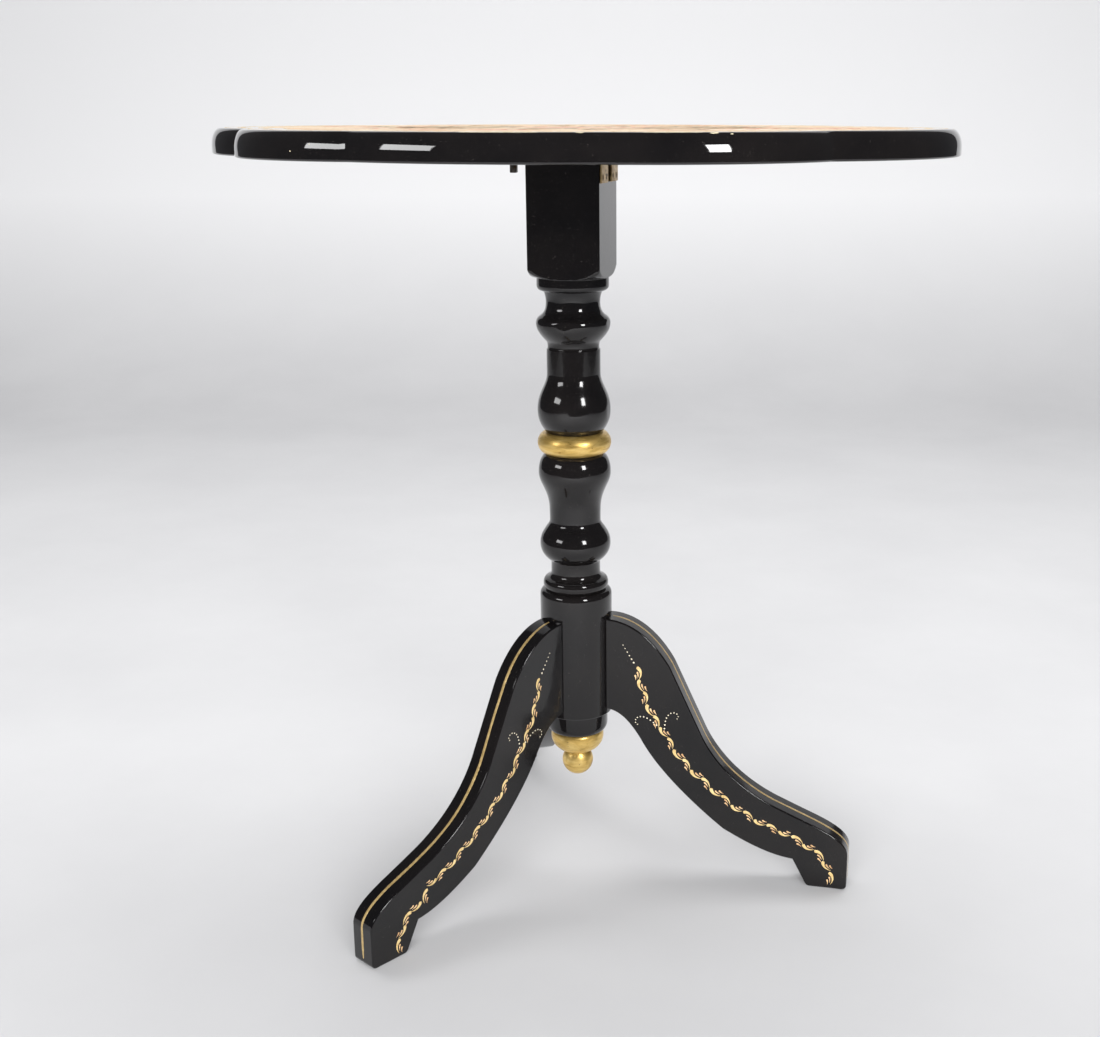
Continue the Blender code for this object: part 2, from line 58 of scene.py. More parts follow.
# The frame's own places
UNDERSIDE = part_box("table_top")[0].z
TABLE_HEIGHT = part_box("table_top")[1].z
TILT_AXIS = Vector(next(j["pos_m"] for j in frame["joints"] if j["name"] == "top_tilt"))

# Table top
TOP_SHIFT = 5 * MM
TOP_TURN = math.radians(-2.8)
END_NOTCH = (262 * MM, 160 * MM)
SIDE_NOTCH = (103.5 * MM, 271 * MM)
LOBE_BULGES = [88.8 * MM, 29.3 * MM, 22.7 * MM, 29.3 * MM] * 2
LOBE_STEPS = [72, 40, 44, 40] * 2
RIM_REACH = 9 * MM           # the upper edge's rounding, inwards
RIM_DROP = 17 * MM           # and downwards
RIM_EASE = 2 * MM
BORDER_LINES = ((12.5 * MM, 14.3 * MM), (42.5 * MM, 44.5 * MM))
BORDER_VINE = 28 * MM
FIELD_INSET = 45.5 * MM

# Pedestal
BLOCK_TOP = UNDERSIDE - GAP
BLOCK_HALF = 35 * MM
BLOCK_FILLET = 1.1 * MM
TURNING_STEPS = 144
RING_TOP = 462 * MM
RING_BOTTOM = 440.6 * MM
DRUM_BOTTOM = 169.5 * MM
CAP_BOTTOM = 146.3 * MM

# Legs
LEG_HALF = 14 * MM
LEG_EDGE = 1.6 * MM
LEG_ANGLES = {"leg_right": 0, "leg_left": -120, "leg_back": 120}
GOLD_LINE = 4 * MM
VINE_MOTIFS = 23
VINE_ENDS = {"leg_right": 269, "leg_left": 254, "leg_back": 262}   # millimetres from the column

# Paint standing on a surface
PAINT_LIFT = 0.16 * MM
PAINT_SINK = 0.12 * MM
THIN_LIFT = 0.05 * MM        # on the table top, which has been rubbed smooth

# Hinges, screws and catch
KNUCKLE_RADIUS = 3.2 * MM
LEAF_THICKNESS = 1.6 * MM
LEAF_WIDTH = 22 * MM
HINGE_LENGTH = 25.4 * MM
SCREW_HEAD = 3 * MM
SCREW_SLOT = 0.8 * MM
PLATE_THICKNESS = 1.5 * MM
BOLT_THICKNESS = 4.5 * MM

# Camera, from the column's foot
LENS = 47.27
CAMERA_PLACE = Vector((0.3576, -1.3440, 0.7658))
CAMERA_HEADING = math.radians(102.66)
CAMERA_DIP = math.radians(15.67)
CAMERA_SHIFT = (-0.0724, -0.0032)


# --- materials -------------------------------------------------------------------------------

def new_material(name, metallic=0.0, coat=0.0, coat_roughness=0.05, specular=0.5):
    material = bpy.data.materials.new(name)
    material.use_nodes = True
    tree = material.node_tree
    shader = tree.nodes["Principled BSDF"]
    shader.inputs["Metallic"].default_value = metallic
    shader.inputs["Coat Weight"].default_value = coat
    shader.inputs["Coat Roughness"].default_value = coat_roughness
    shader.inputs["Specular IOR Level"].default_value = specular
    return material, tree, shader


def add_node(tree, kind, inputs, **settings):
    item = tree.nodes.new("ShaderNode" + kind)
    for name, value in settings.items():
        setattr(item, name, value)
    for name, value in inputs.items():
        if isinstance(value, bpy.types.NodeSocket):
            tree.links.new(value, item.inputs[name])
        else:
            item.inputs[name].default_value = value
    return item


def stretched(tree, stretch):
    place = add_node(tree, "TexCoord", {}).outputs["Object"]
    return add_node(tree, "Mapping", {"Vector": place, "Scale": stretch}).outputs["Vector"]


def noise(tree, scale, detail=4.0, roughness=0.55, stretch=(1, 1, 1), distortion=0.0):
    return add_node(tree, "TexNoise", {"Vector": stretched(tree, stretch), "Scale": scale,
                                       "Detail": detail, "Roughness": roughness,
                                       "Distortion": distortion}).outputs["Fac"]


def cracks(tree, scale, width):
    """1 in thin lines between irregular cells, 0 elsewhere."""
    edge = add_node(tree, "TexVoronoi", {"Vector": stretched(tree, (1, 1, 1)), "Scale": scale},
                    feature="DISTANCE_TO_EDGE").outputs["Distance"]
    return ramp(tree, edge, [(0.0, 1.0), (width, 0.0)])


def ramp(tree, factor, stops):
    """Colours, or greys given as one number, at places along 0 to 1."""
    item = add_node(tree, "ValToRGB", {"Fac": factor})
    elements = item.color_ramp.elements
    while len(elements) < len(stops):
        elements.new(0.5)
    for element, (place, colour) in zip(elements, stops):
        element.position = place
        element.color = (*colour, 1) if isinstance(colour, tuple) else (colour, colour, colour, 1)
    return item.outputs["Color"]


def mixed(tree, factor, first, second):
    item = tree.nodes.new("ShaderNodeMix")
    item.data_type = "RGBA"
    for socket, value in ((item.inputs[0], factor), (item.inputs[6], first), (item.inputs[7], second)):
        if isinstance(value, bpy.types.NodeSocket):
            tree.links.new(value, socket)
        else:
            socket.default_value = (*value, 1)
    return item.outputs[2]


def bumped(tree, height, distance, strength, below=None):
    inputs = {"Height": height, "Distance": distance, "Strength": strength}
    if below is not None:
        inputs["Normal"] = below
    return add_node(tree, "Bump", inputs).outputs["Normal"]


def finish_shader(tree, shader, colour, roughness, normal):
    tree.links.new(colour, shader.inputs["Base Color"])
    tree.links.new(roughness, shader.inputs["Roughness"])
    tree.links.new(normal, shader.inputs["Normal"])


def lacquer(name, low=0.05, high=0.16, coat=0.25):
    """Black lacquer: faint warm patches, dust caught in the film and a slow ripple."""
    material, tree, shader = new_material(name, coat=coat, coat_roughness=0.03, specular=0.36)
    tone = ramp(tree, noise(tree, 11, 6),
                [(0.35, (0.0032, 0.0030, 0.0034)), (0.72, (0.0085, 0.0072, 0.0070))])
    dust = ramp(tree, noise(tree, 700, 2, 0.4), [(0.70, 0.0), (0.78, 1.0)])
    colour = mixed(tree, dust, tone, (0.040, 0.036, 0.033))
    rough = ramp(tree, noise(tree, 34, 8, 0.65), [(0.30, low), (0.78, high)])
    ripple = bumped(tree, noise(tree, 120, 2, 0.4), 0.10 * MM, 0.35)
    brushed = bumped(tree, noise(tree, 900, 3, 0.6), 0.02 * MM, 0.30, ripple)
    finish_shader(tree, shader, colour, rough, brushed)
    return material


def underside_paint(name):
    """Thin satin black over board, with the grain showing through."""
    material, tree, shader = new_material(name, specular=0.35)
    grain = noise(tree, 60, 6, 0.6, (1, 14, 14), 0.4)
    colour = ramp(tree, grain, [(0.30, (0.0035, 0.0032, 0.0030)), (0.62, (0.012, 0.010, 0.008)),
                                (0.80, (0.030, 0.020, 0.012))])
    rough = ramp(tree, noise(tree, 25, 5), [(0.3, 0.34), (0.75, 0.58)])
    finish_shader(tree, shader, colour, rough, bumped(tree, grain, 0.15 * MM, 0.6))
    return material


def gilding(name, stretch):
    """Gold leaf over red bole, brushed round the turning and rubbed through in specks."""
    material, tree, shader = new_material(name, metallic=0.82, coat=0.2, coat_roughness=0.15)
    streaks = noise(tree, 45, 7, 0.62, stretch, 0.6)
    leaf = ramp(tree, streaks, [(0.28, (0.42, 0.245, 0.055)), (0.50, (0.74, 0.50, 0.145)),
                                (0.74, (0.93, 0.70, 0.28))])
    worn = ramp(tree, noise(tree, 240, 5, 0.6), [(0.66, 0.0), (0.74, 1.0)])
    colour = mixed(tree, worn, leaf, (0.27, 0.12, 0.03))
    rough = ramp(tree, noise(tree, 90, 6, 0.6, stretch), [(0.3, 0.27), (0.75, 0.52)])
    brushed = bumped(tree, noise(tree, 130, 5, 0.6, stretch), 0.25 * MM, 0.55)
    finish_shader(tree, shader, colour, rough, brushed)
    return material


def gold_paint(name, dark, light, metallic=0.45):
    """Bronze powder paint, laid thick and thin by a brush."""
    material, tree, shader = new_material(name, metallic=metallic, coat=0.3, coat_roughness=0.15)
    strokes = noise(tree, 170, 6, 0.65, (1, 1, 1), 0.8)
    rough = ramp(tree, noise(tree, 300, 4), [(0.3, 0.30), (0.75, 0.52)])
    colour = ramp(tree, strokes, [(0.30, dark), (0.66, light)])
    finish_shader(tree, shader, colour, rough, bumped(tree, strokes, 0.12 * MM, 0.7))
    return material


def oil_paint(name, dark, light, scale=110):
    """Opaque paint under old varnish, streaked by the brush and finely cracked."""
    material, tree, shader = new_material(name, coat=0.25, coat_roughness=0.18, specular=0.3)
    strokes = noise(tree, scale, 7, 0.68, (1, 1, 1), 0.9)
    painted = ramp(tree, strokes, [(0.30, dark), (0.70, light)])
    crazing = cracks(tree, 210, 0.035)
    colour = mixed(tree, crazing, painted, tuple(0.45 * part for part in dark))
    rough = ramp(tree, strokes, [(0.3, 0.34), (0.8, 0.55)])
    finish_shader(tree, shader, colour, rough, bumped(tree, strokes, 0.14 * MM, 0.6))
    return material


def field_ground(name):
    """The tan and cream ground of the painting, mottled, toned and crazed."""
    material, tree, shader = new_material(name, coat=0.15, coat_roughness=0.20, specular=0.25)
    broad = ramp(tree, noise(tree, 9, 6, 0.6, (1, 1, 1), 0.6),
                 [(0.28, (0.50, 0.27, 0.12)), (0.46, (0.66, 0.46, 0.27)), (0.68, (0.80, 0.67, 0.48))])
    blush = ramp(tree, noise(tree, 30, 5, 0.6), [(0.52, 0.0), (0.72, 0.75)])
    toned = mixed(tree, blush, broad, (0.70, 0.33, 0.15))
    crazing = cracks(tree, 130, 0.03)
    colour = mixed(tree, crazing, toned, (0.20, 0.11, 0.05))
    fine = noise(tree, 260, 6, 0.65)
    rough = ramp(tree, fine, [(0.3, 0.38), (0.8, 0.60)])
    finish_shader(tree, shader, colour, rough, bumped(tree, fine, 0.12 * MM, 0.6))
    return material


def metal(name, dark, light, tarnish, roughness, scratch=(1, 1, 1)):
    """Old sheet metal, rubbed bright in places and tarnished in others."""
    material, tree, shader = new_material(name, metallic=1.0)
    rubbed = ramp(tree, noise(tree, 130, 6, 0.6), [(0.30, dark), (0.68, light)])
    spots = ramp(tree, noise(tree, 320, 6, 0.62), [(0.54, 0.0), (0.66, 1.0)])
    colour = mixed(tree, spots, rubbed, tarnish)
    rough = ramp(tree, noise(tree, 210, 5, 0.6), [(0.3, roughness[0]), (0.75, roughness[1])])
    scratches = noise(tree, 500, 5, 0.7, scratch)
    finish_shader(tree, shader, colour, rough, bumped(tree, scratches, 0.08 * MM, 0.6))
    return material


def stage_paper(name):
    """Matt paper, painted much paler up the wall than underfoot: painted light and shade for how the
    lamps fall on one sweep.
    """
    material, tree, shader = new_material(name, specular=0.2)
    floor = ramp(tree, noise(tree, 3, 4), [(0.3, (0.570, 0.570, 0.578)), (0.7, (0.605, 0.605, 0.612))])
    split = add_node(tree, "SeparateXYZ", {"Vector": stretched(tree, (1, 1, 0.6))})
    # Painted light: by height, the wall gets a far paler colour than the floor, for the light that
    # falls on it
    height = ramp(tree, split.outputs["Z"], [(0.01, 0.0), (0.30, 1.0)])
    colour = mixed(tree, height, floor, (0.90, 0.90, 0.905))
    rough = ramp(tree, noise(tree, 40, 4), [(0.3, 0.75), (0.7, 0.9)])
    finish_shader(tree, shader, colour, rough, bumped(tree, noise(tree, 300, 4), 0.1 * MM, 0.2))
    return material


LACQUER = lacquer("black_lacquer_gloss")
RIM_LACQUER = lacquer("black_lacquer_rim", 0.015, 0.05, 0.6)
UNDER_PAINT = underside_paint("underside_black_paint")
RING_GILT = gilding("gold_leaf_ring", (1, 1, 5))
FINIAL_GILT = gilding("gold_leaf_finial", (1, 1, 3))
LINE_GOLD = gold_paint("gold_line_paint", (0.36, 0.24, 0.085), (0.66, 0.48, 0.21))
VINE_GOLD = gold_paint("vine_gold_paint", (0.56, 0.37, 0.13), (0.86, 0.66, 0.32), 0.25)
VINE_SHADE = gold_paint("vine_shade_paint", (0.52, 0.27, 0.11), (0.88, 0.63, 0.35), 0.2)
DOT_PAINT = gold_paint("pale_dot_paint", (0.60, 0.52, 0.36), (0.82, 0.76, 0.60), 0.0)
GROUND = field_ground("painted_ground")
CORAL = oil_paint("coral_petal_paint", (0.42, 0.10, 0.045), (0.78, 0.34, 0.20))
CREAM = oil_paint("cream_petal_paint", (0.60, 0.44, 0.27), (0.88, 0.78, 0.60))
LEAF_GREEN = oil_paint("leaf_paint", (0.055, 0.060, 0.022), (0.23, 0.22, 0.085))
STEM_BROWN = oil_paint("stem_paint", (0.10, 0.045, 0.018), (0.30, 0.16, 0.07))
GESSO = oil_paint("chipped_gesso", (0.55, 0.46, 0.27), (0.82, 0.76, 0.56), 300)
BRASS = metal("aged_brass", (0.38, 0.245, 0.10), (0.72, 0.53, 0.27), (0.09, 0.045, 0.03), (0.28, 0.50))
SCREW_BRASS = metal("screw_brass_metal", (0.30, 0.20, 0.09), (0.60, 0.44, 0.22), (0.05, 0.03, 0.02),
                    (0.30, 0.55))
STEEL = metal("dark_steel_metal", (0.045, 0.040, 0.036), (0.15, 0.135, 0.12), (0.10, 0.045, 0.02),
              (0.32, 0.58), (12, 1, 1))


# --- mesh building ---------------------------------------------------------------------------

def add_object(name, data):
    item = bpy.data.objects.new(name, data)
    bpy.context.scene.collection.objects.link(item)
    return item


def mesh_object(name, bm):
    mesh = bpy.data.meshes.new(name)
    bm.to_mesh(mesh)
    bm.free()
    return add_object(name, mesh)


def add_piece(name, bm, material, body, nodes=(), sharp=38, even=False):
    """Turn a finished bmesh into a piece that rides a body and stands for its CAD nodes."""
    bmesh.ops.recalc_face_normals(bm, faces=bm.faces)
    item = mesh_object(name, bm)
    item.data.shade_smooth()
    item.data.set_sharp_from_angle(angle=math.radians(sharp))
    item.data.materials.append(material)
    if even:
        item.modifiers.new("Even", "WEIGHTED_NORMAL").keep_sharp = True
    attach(item, body)
    if nodes:
        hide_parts(*nodes)
    return item


def aimed(angle):
    return Vector((math.cos(angle), math.sin(angle)))


def loft(bm, rings, wrap=False, capped=False):
    """Skin rings of points that each close on themselves. A ring of one point is a pole."""
    rows = [[bm.verts.new(point) for point in ring] for ring in rings]
    pairs = list(zip(rows, rows[1:]))
    if wrap:
        pairs.append((rows[-1], rows[0]))
    for low, high in pairs:
        count = max(len(low), len(high))
        for i in range(count):
            j = (i + 1) % count
            corners = [low[i], low[j]] if len(low) > 1 else [low[0]]
            corners += [high[j], high[i]] if len(high) > 1 else [high[0]]
            bm.faces.new(corners)
    if capped:
        bm.faces.new(rows[0][::-1])
        bm.faces.new(rows[-1])


def at(radius, height):
    return (radius * MM, height * MM)


def drawn(start, *stretches):
    """A line given in millimetres. Each stretch is a corner, or two handles, an end and a count."""
    points = [at(*start)]
    for stretch in stretches:
        if len(stretch) == 2:
            start = stretch
            points.append(at(*start))
            continue
        *bend, count = stretch
        knots = [Vector((*at(*knot), 0)) for knot in (start, *bend)]
        points += [(point.x, point.y) for point in interpolate_bezier(*knots, count)[1:]]
        start = bend[-1]
    return points


def bead(inner, outer, middle, reach, count):
    """Half an ellipse bulging from one radius to another, from its top down, in millimetres."""
    angles = [math.radians(90 - 180 * i / count) for i in range(count + 1)]
    return [at(inner + (outer - inner) * math.cos(angle), middle + reach * math.sin(angle))
            for angle in angles]


def circle(radius, height, steps):
    """A ring of points round +Z, or the one point on the axis."""
    if radius < 1e-6:
        return [Vector((0, 0, height))]
    return [(radius * aimed(2 * math.pi * i / steps)).to_3d() + Vector((0, 0, height))
            for i in range(steps)]


def add_turning(bm, profile, steps=TURNING_STEPS, place=Matrix.Identity(4)):
    loft(bm, [[place @ point for point in circle(radius, height, steps)] for radius, height in profile])


def eased(profile, ease):
    """Round a profile's hard corners over a short reach, as sanding and lacquer do."""
    points = [Vector(profile[0])]
    for before, corner, after in zip(profile, profile[1:], profile[2:]):
        corner = Vector(corner)
        back, ahead = Vector(before) - corner, Vector(after) - corner
        if min(back.length, ahead.length) < 1e-7 or back.angle(ahead) > math.radians(150):
            points.append(corner)
            continue
        start = corner + back * min(ease / back.length, 0.45)
        end = corner + ahead * min(ease / ahead.length, 0.45)
        for i in range(5):
            t = i / 4
            points.append(start * (1 - t) ** 2 + corner * 2 * t * (1 - t) + end * t * t)
    points.append(Vector(profile[-1]))
    return [tuple(point) for point in points]


def inset_outline(points, distance):
    """Move a closed outline inwards, each corner along its mitre."""
    area = sum(a.x * b.y - b.x * a.y for a, b in zip(points, points[1:] + points[:1]))
    turn = 1 if area > 0 else -1
    moved = []
    for i, point in enumerate(points):
        before = (point - points[i - 1]).normalized()
        after = (points[(i + 1) % len(points)] - point).normalized()
        first = Vector((-before.y, before.x)) * turn
        second = Vector((-after.y, after.x)) * turn
        moved.append(point + (first + second) * distance / max(1 + first.dot(second), 0.35))
    return moved


def add_slab(bm, outline, low, high, edge, place, steps=3):
    """Extrude an outline between two depths, its edges rounded over."""
    levels = []
    for i in range(steps + 1):
        angle = math.radians(90 * i / steps)
        levels.append((edge * (1 - math.sin(angle)), edge * (1 - math.cos(angle))))
    rings = [(inset, low + rise) for inset, rise in levels]
    rings += [(inset, high - rise) for inset, rise in reversed(levels)]
    loft(bm, [[place(point, depth) for point in inset_outline(outline, inset)]
              for inset, depth in rings], capped=True)


def rounded_rectangle(low, high, radius, steps=5):
    left, bottom = low[0] + radius, low[1] + radius
    right, top = high[0] - radius, high[1] - radius
    points = []
    for i, centre in enumerate(((right, top), (left, top), (left, bottom), (right, bottom))):
        for k in range(steps + 1):
            points.append(Vector(centre) + radius * aimed(math.radians(90 * (i + k / steps))))
    return points


# --- paint strokes ---------------------------------------------------------------------------

def add_stroke(bm, place, points, widths, lift=PAINT_LIFT):
    """A low rounded ridge of paint along points on a surface, with its own width at each."""
    rings = []
    last = len(points) - 1
    for i, point in enumerate(points):
        ahead = points[min(i + 1, last)] - points[max(i - 1, 0)]
        across = Vector((-ahead.y, ahead.x)).normalized() * widths[i] / 2
        rings.append([place(point - across, -PAINT_SINK), place(point - across * 0.5, lift),
                      place(point + across * 0.5, lift), place(point + across, -PAINT_SINK)])
    loft(bm, rings, capped=True)


def add_dot(bm, place, centre, radius, lift=PAINT_LIFT):
    rings = []
    for reach, height in ((1.0, -PAINT_SINK), (0.8, lift * 0.75)):
        rings.append([place(centre + radius * reach * aimed(2 * math.pi * i / 9), height)
                      for i in range(9)])
    rings.append([place(centre, lift * 1.25)])
    loft(bm, rings)
    base = list(bm.verts)[-19:-10]
    bm.faces.new(base[::-1])


def arc_points(start, heading, turn, length, count):
    """A stroke's line that turns quickly at first and then runs out straighter."""
    points = [Vector(start)]
    for i in range(count):
        angle = heading + turn * ((i + 0.5) / count) ** 0.65
        points.append(points[-1] + aimed(angle) * length / count)
    return points


def comma_widths(widest, count):
    """A round head that thins to a drawn-out tail."""
    return [widest * min(1.0, 0.55 + 4.0 * t) * (1 - t) ** 1.15 + 0.35 * MM
            for t in (i / count for i in range(count + 1))]


def leaf_widths(widest, count):
    return [widest * math.sin(math.pi * (0.06 + 0.9 * t)) ** 0.8
            for t in (i / count for i in range(count + 1))]


def add_comma(gold, shade, place, start, heading, side, length, widest, lift=PAINT_LIFT):
    """One leaf of the painted vine: a fat comma with two thin strokes inside its bend."""
    steps = 12
    line = arc_points(start, heading - side * math.radians(66), side * math.radians(118), length, steps)
    add_stroke(gold, place, line, comma_widths(widest, steps), lift)
    across = Vector((-math.sin(heading), math.cos(heading))) * side
    ahead = aimed(heading)
    for run, aside, size in ((0.30, 0.05, 0.44), (0.48, 0.24, 0.36)):
        spot = line[0] + ahead * run * length + across * aside * length
        inner = arc_points(spot, heading - side * 0.35, side * 0.8, length * size, 6)
        add_stroke(shade, place, inner, comma_widths(widest * 0.50, 6), lift)


def smooth_path(points, steps=10):
    """A flowing line through a few points."""
    ends = [points[0] * 2 - points[1], *points, points[-1] * 2 - points[-2]]
    path = []
    for a, b, c, d in zip(ends, ends[1:], ends[2:], ends[3:]):
        for i in range(steps):
            t = i / steps
            path.append(0.5 * (b * 2 + (c - a) * t + (a * 2 - b * 5 + c * 4 - d) * t * t
                               + (b * 3 - a - c * 3 + d) * t ** 3))
    path.append(points[-1])
    return path


def along(path, distance):
    """The point and heading that far along a line."""
    for start, end in zip(path, path[1:]):
        step = (end - start).length
        if distance <= step:
            ahead = end - start
            return start + ahead * (distance / step), math.atan2(ahead.y, ahead.x)
        distance -= step
    ahead = path[-1] - path[-2]
    return path[-1].copy(), math.atan2(ahead.y, ahead.x)


def path_length(path):
    return sum((end - start).length for start, end in zip(path, path[1:]))


# --- table top -------------------------------------------------------------------------------

def lobe_circles():
    """(centre, radius) of each lobe's arc and the notch where it starts, anticlockwise."""
    (end_x, end_y), (side_x, side_y) = END_NOTCH, SIDE_NOTCH
    notches = [Vector(p) for p in ((end_x, -end_y), (end_x, end_y), (side_x, side_y), (-side_x, side_y),
                                   (-end_x, end_y), (-end_x, -end_y), (-side_x, -side_y),
                                   (side_x, -side_y))]
    circles = []
    for i, bulge in enumerate(LOBE_BULGES):
        start, end = notches[i], notches[(i + 1) % 8]
        half = (end - start).length / 2
        radius = (half * half + bulge * bulge) / (2 * bulge)
        outward = Vector(((end - start).y, (start - end).x)).normalized()
        circles.append(((start + end) / 2 + outward * (bulge - radius), radius))
    return circles, notches


LOBES, NOTCHES = lobe_circles()


def meeting_point(first, second, near):
    """Where two circles cross, nearest to a given point."""
    (centre_1, radius_1), (centre_2, radius_2) = first, second
    between = centre_2 - centre_1
    span = between.length
    along_line = (radius_1 ** 2 - radius_2 ** 2 + span ** 2) / (2 * span)
    aside = math.sqrt(max(radius_1 ** 2 - along_line ** 2, 0))
    foot = centre_1 + between * (along_line / span)
    across = Vector((-between.y, between.x)) / span * aside
    return min(foot + across, foot - across, key=lambda point: (point - near).length)


def lobe_arcs(inset):
    """The outline moved inwards, as eight lists of points that each start at a notch."""
    shrunk = [(centre, radius - inset) for centre, radius in LOBES]
    corners = [meeting_point(shrunk[i - 1], shrunk[i], NOTCHES[i]) for i in range(8)]
    arcs = []
    for i, (centre, radius) in enumerate(shrunk):
        first = math.atan2(*(corners[i] - centre).yx)
        sweep = (math.atan2(*(corners[(i + 1) % 8] - centre).yx) - first) % (2 * math.pi)
        count = LOBE_STEPS[i]
        arcs.append([centre + radius * aimed(first + sweep * k / count) for k in range(count)])
    return arcs


def top_place(point, height):
    """From the top's own plan to the frame."""
    turned = Matrix.Rotation(TOP_TURN, 2) @ point
    return Vector((turned.x + TOP_SHIFT, turned.y, height))


def on_top(point, lift):
    return top_place(point, TABLE_HEIGHT + lift)


def top_ring(inset, height):
    return [top_place(point, height) for arc in lobe_arcs(inset) for point in arc]


def rim_profile():
    """The rim's section from the flat top outwards and down, as (inset, height)."""
    points = []
    for i in range(15):
        angle = math.radians(90 * i / 14)
        points.append(Vector((RIM_REACH * (1 - math.sin(angle)),
                              TABLE_HEIGHT - RIM_DROP * (1 - math.cos(angle)))))
    return points + [Vector((0, UNDERSIDE + RIM_EASE))]


def build_board():
    bm = bmesh.new()
    middle = Vector((0, 0))
    rings = [[top_place(middle, UNDERSIDE)], top_ring(30 * MM, UNDERSIDE),
             top_ring(RIM_EASE, UNDERSIDE)]
    for i in range(1, 5):
        angle = math.radians(90 * i / 4)
        rings.append(top_ring(RIM_EASE * (1 - math.sin(angle)),
                              UNDERSIDE + RIM_EASE * (1 - math.cos(angle))))
    rings += [top_ring(*point) for point in reversed(rim_profile()[:-1])]
    rings += [top_ring(FIELD_INSET + 4 * MM, TABLE_HEIGHT), [on_top(middle, 0)]]
    loft(bm, rings)
    board = add_piece("table_top_board", bm, RIM_LACQUER, "top", ["table_top"], 30, True)
    board.data.materials.append(UNDER_PAINT)
    for face in board.data.polygons:
        if face.normal.z < -0.99:
            face.material_index = 1


def add_band(bm, outer, inner, lift=THIN_LIFT):
    """A raised painted line that follows the lobes between two insets."""
    ease = 0.25 * MM
    loft(bm, [top_ring(outer, TABLE_HEIGHT - PAINT_SINK), top_ring(outer + ease, TABLE_HEIGHT + lift),
              top_ring(inner - ease, TABLE_HEIGHT + lift), top_ring(inner, TABLE_HEIGHT - PAINT_SINK)],
         wrap=True)


def build_field():
    bm = bmesh.new()
    sunk = TABLE_HEIGHT - PAINT_SINK
    rings = [[on_top(Vector((0, 0)), -PAINT_SINK)], top_ring(FIELD_INSET, sunk),
             top_ring(FIELD_INSET + 0.4 * MM, TABLE_HEIGHT + THIN_LIFT)]
    rings += [top_ring(inset * MM, TABLE_HEIGHT + THIN_LIFT) for inset in (52, 60, 75, 95)]
    rings.append([on_top(Vector((0, 0)), THIN_LIFT)])
    loft(bm, rings)
    add_piece("painted_field", bm, GROUND, "top")


def build_border():
    gold, shade, dots = bmesh.new(), bmesh.new(), bmesh.new()
    for outer, inner in BORDER_LINES:
        add_band(gold, outer, inner)
    arcs = lobe_arcs(BORDER_VINE)
    for i, arc in enumerate(arcs):
        path = arc + [arcs[(i + 1) % 8][0]]
        length = path_length(path)
        count = max(2, round((length / 2 - 9 * MM) / (15 * MM)))
        step = (length / 2 - 9 * MM) / count
        middle, _ = along(path, length / 2)
        add_dot(dots, on_top, middle, 2.0 * MM, THIN_LIFT)
        add_dot(dots, on_top, path[0], 1.8 * MM, THIN_LIFT)
        for sense in (1, -1):
            line = path if sense > 0 else path[::-1]
            for k in range(count):
                start, heading = along(line, length / 2 + 5 * MM + k * step)
                side = sense * (1 if k % 2 else -1)
                add_comma(gold, shade, on_top, start, heading, side, 14.5 * MM, 4.6 * MM, THIN_LIFT)
            for k in range(3):
                spot, _ = along(line, length / 2 + 5 * MM + count * step - 1 * MM + k * 1.8 * MM)
                add_dot(dots, on_top, spot, (0.9 - 0.2 * k) * MM, THIN_LIFT)
    add_piece("border_gilding", gold, VINE_GOLD, "top")
    add_piece("border_shading", shade, VINE_SHADE, "top")
    add_piece("border_dots", dots, DOT_PAINT, "top")


def on_field(point, lift):
    return on_top(point, THIN_LIFT + lift)


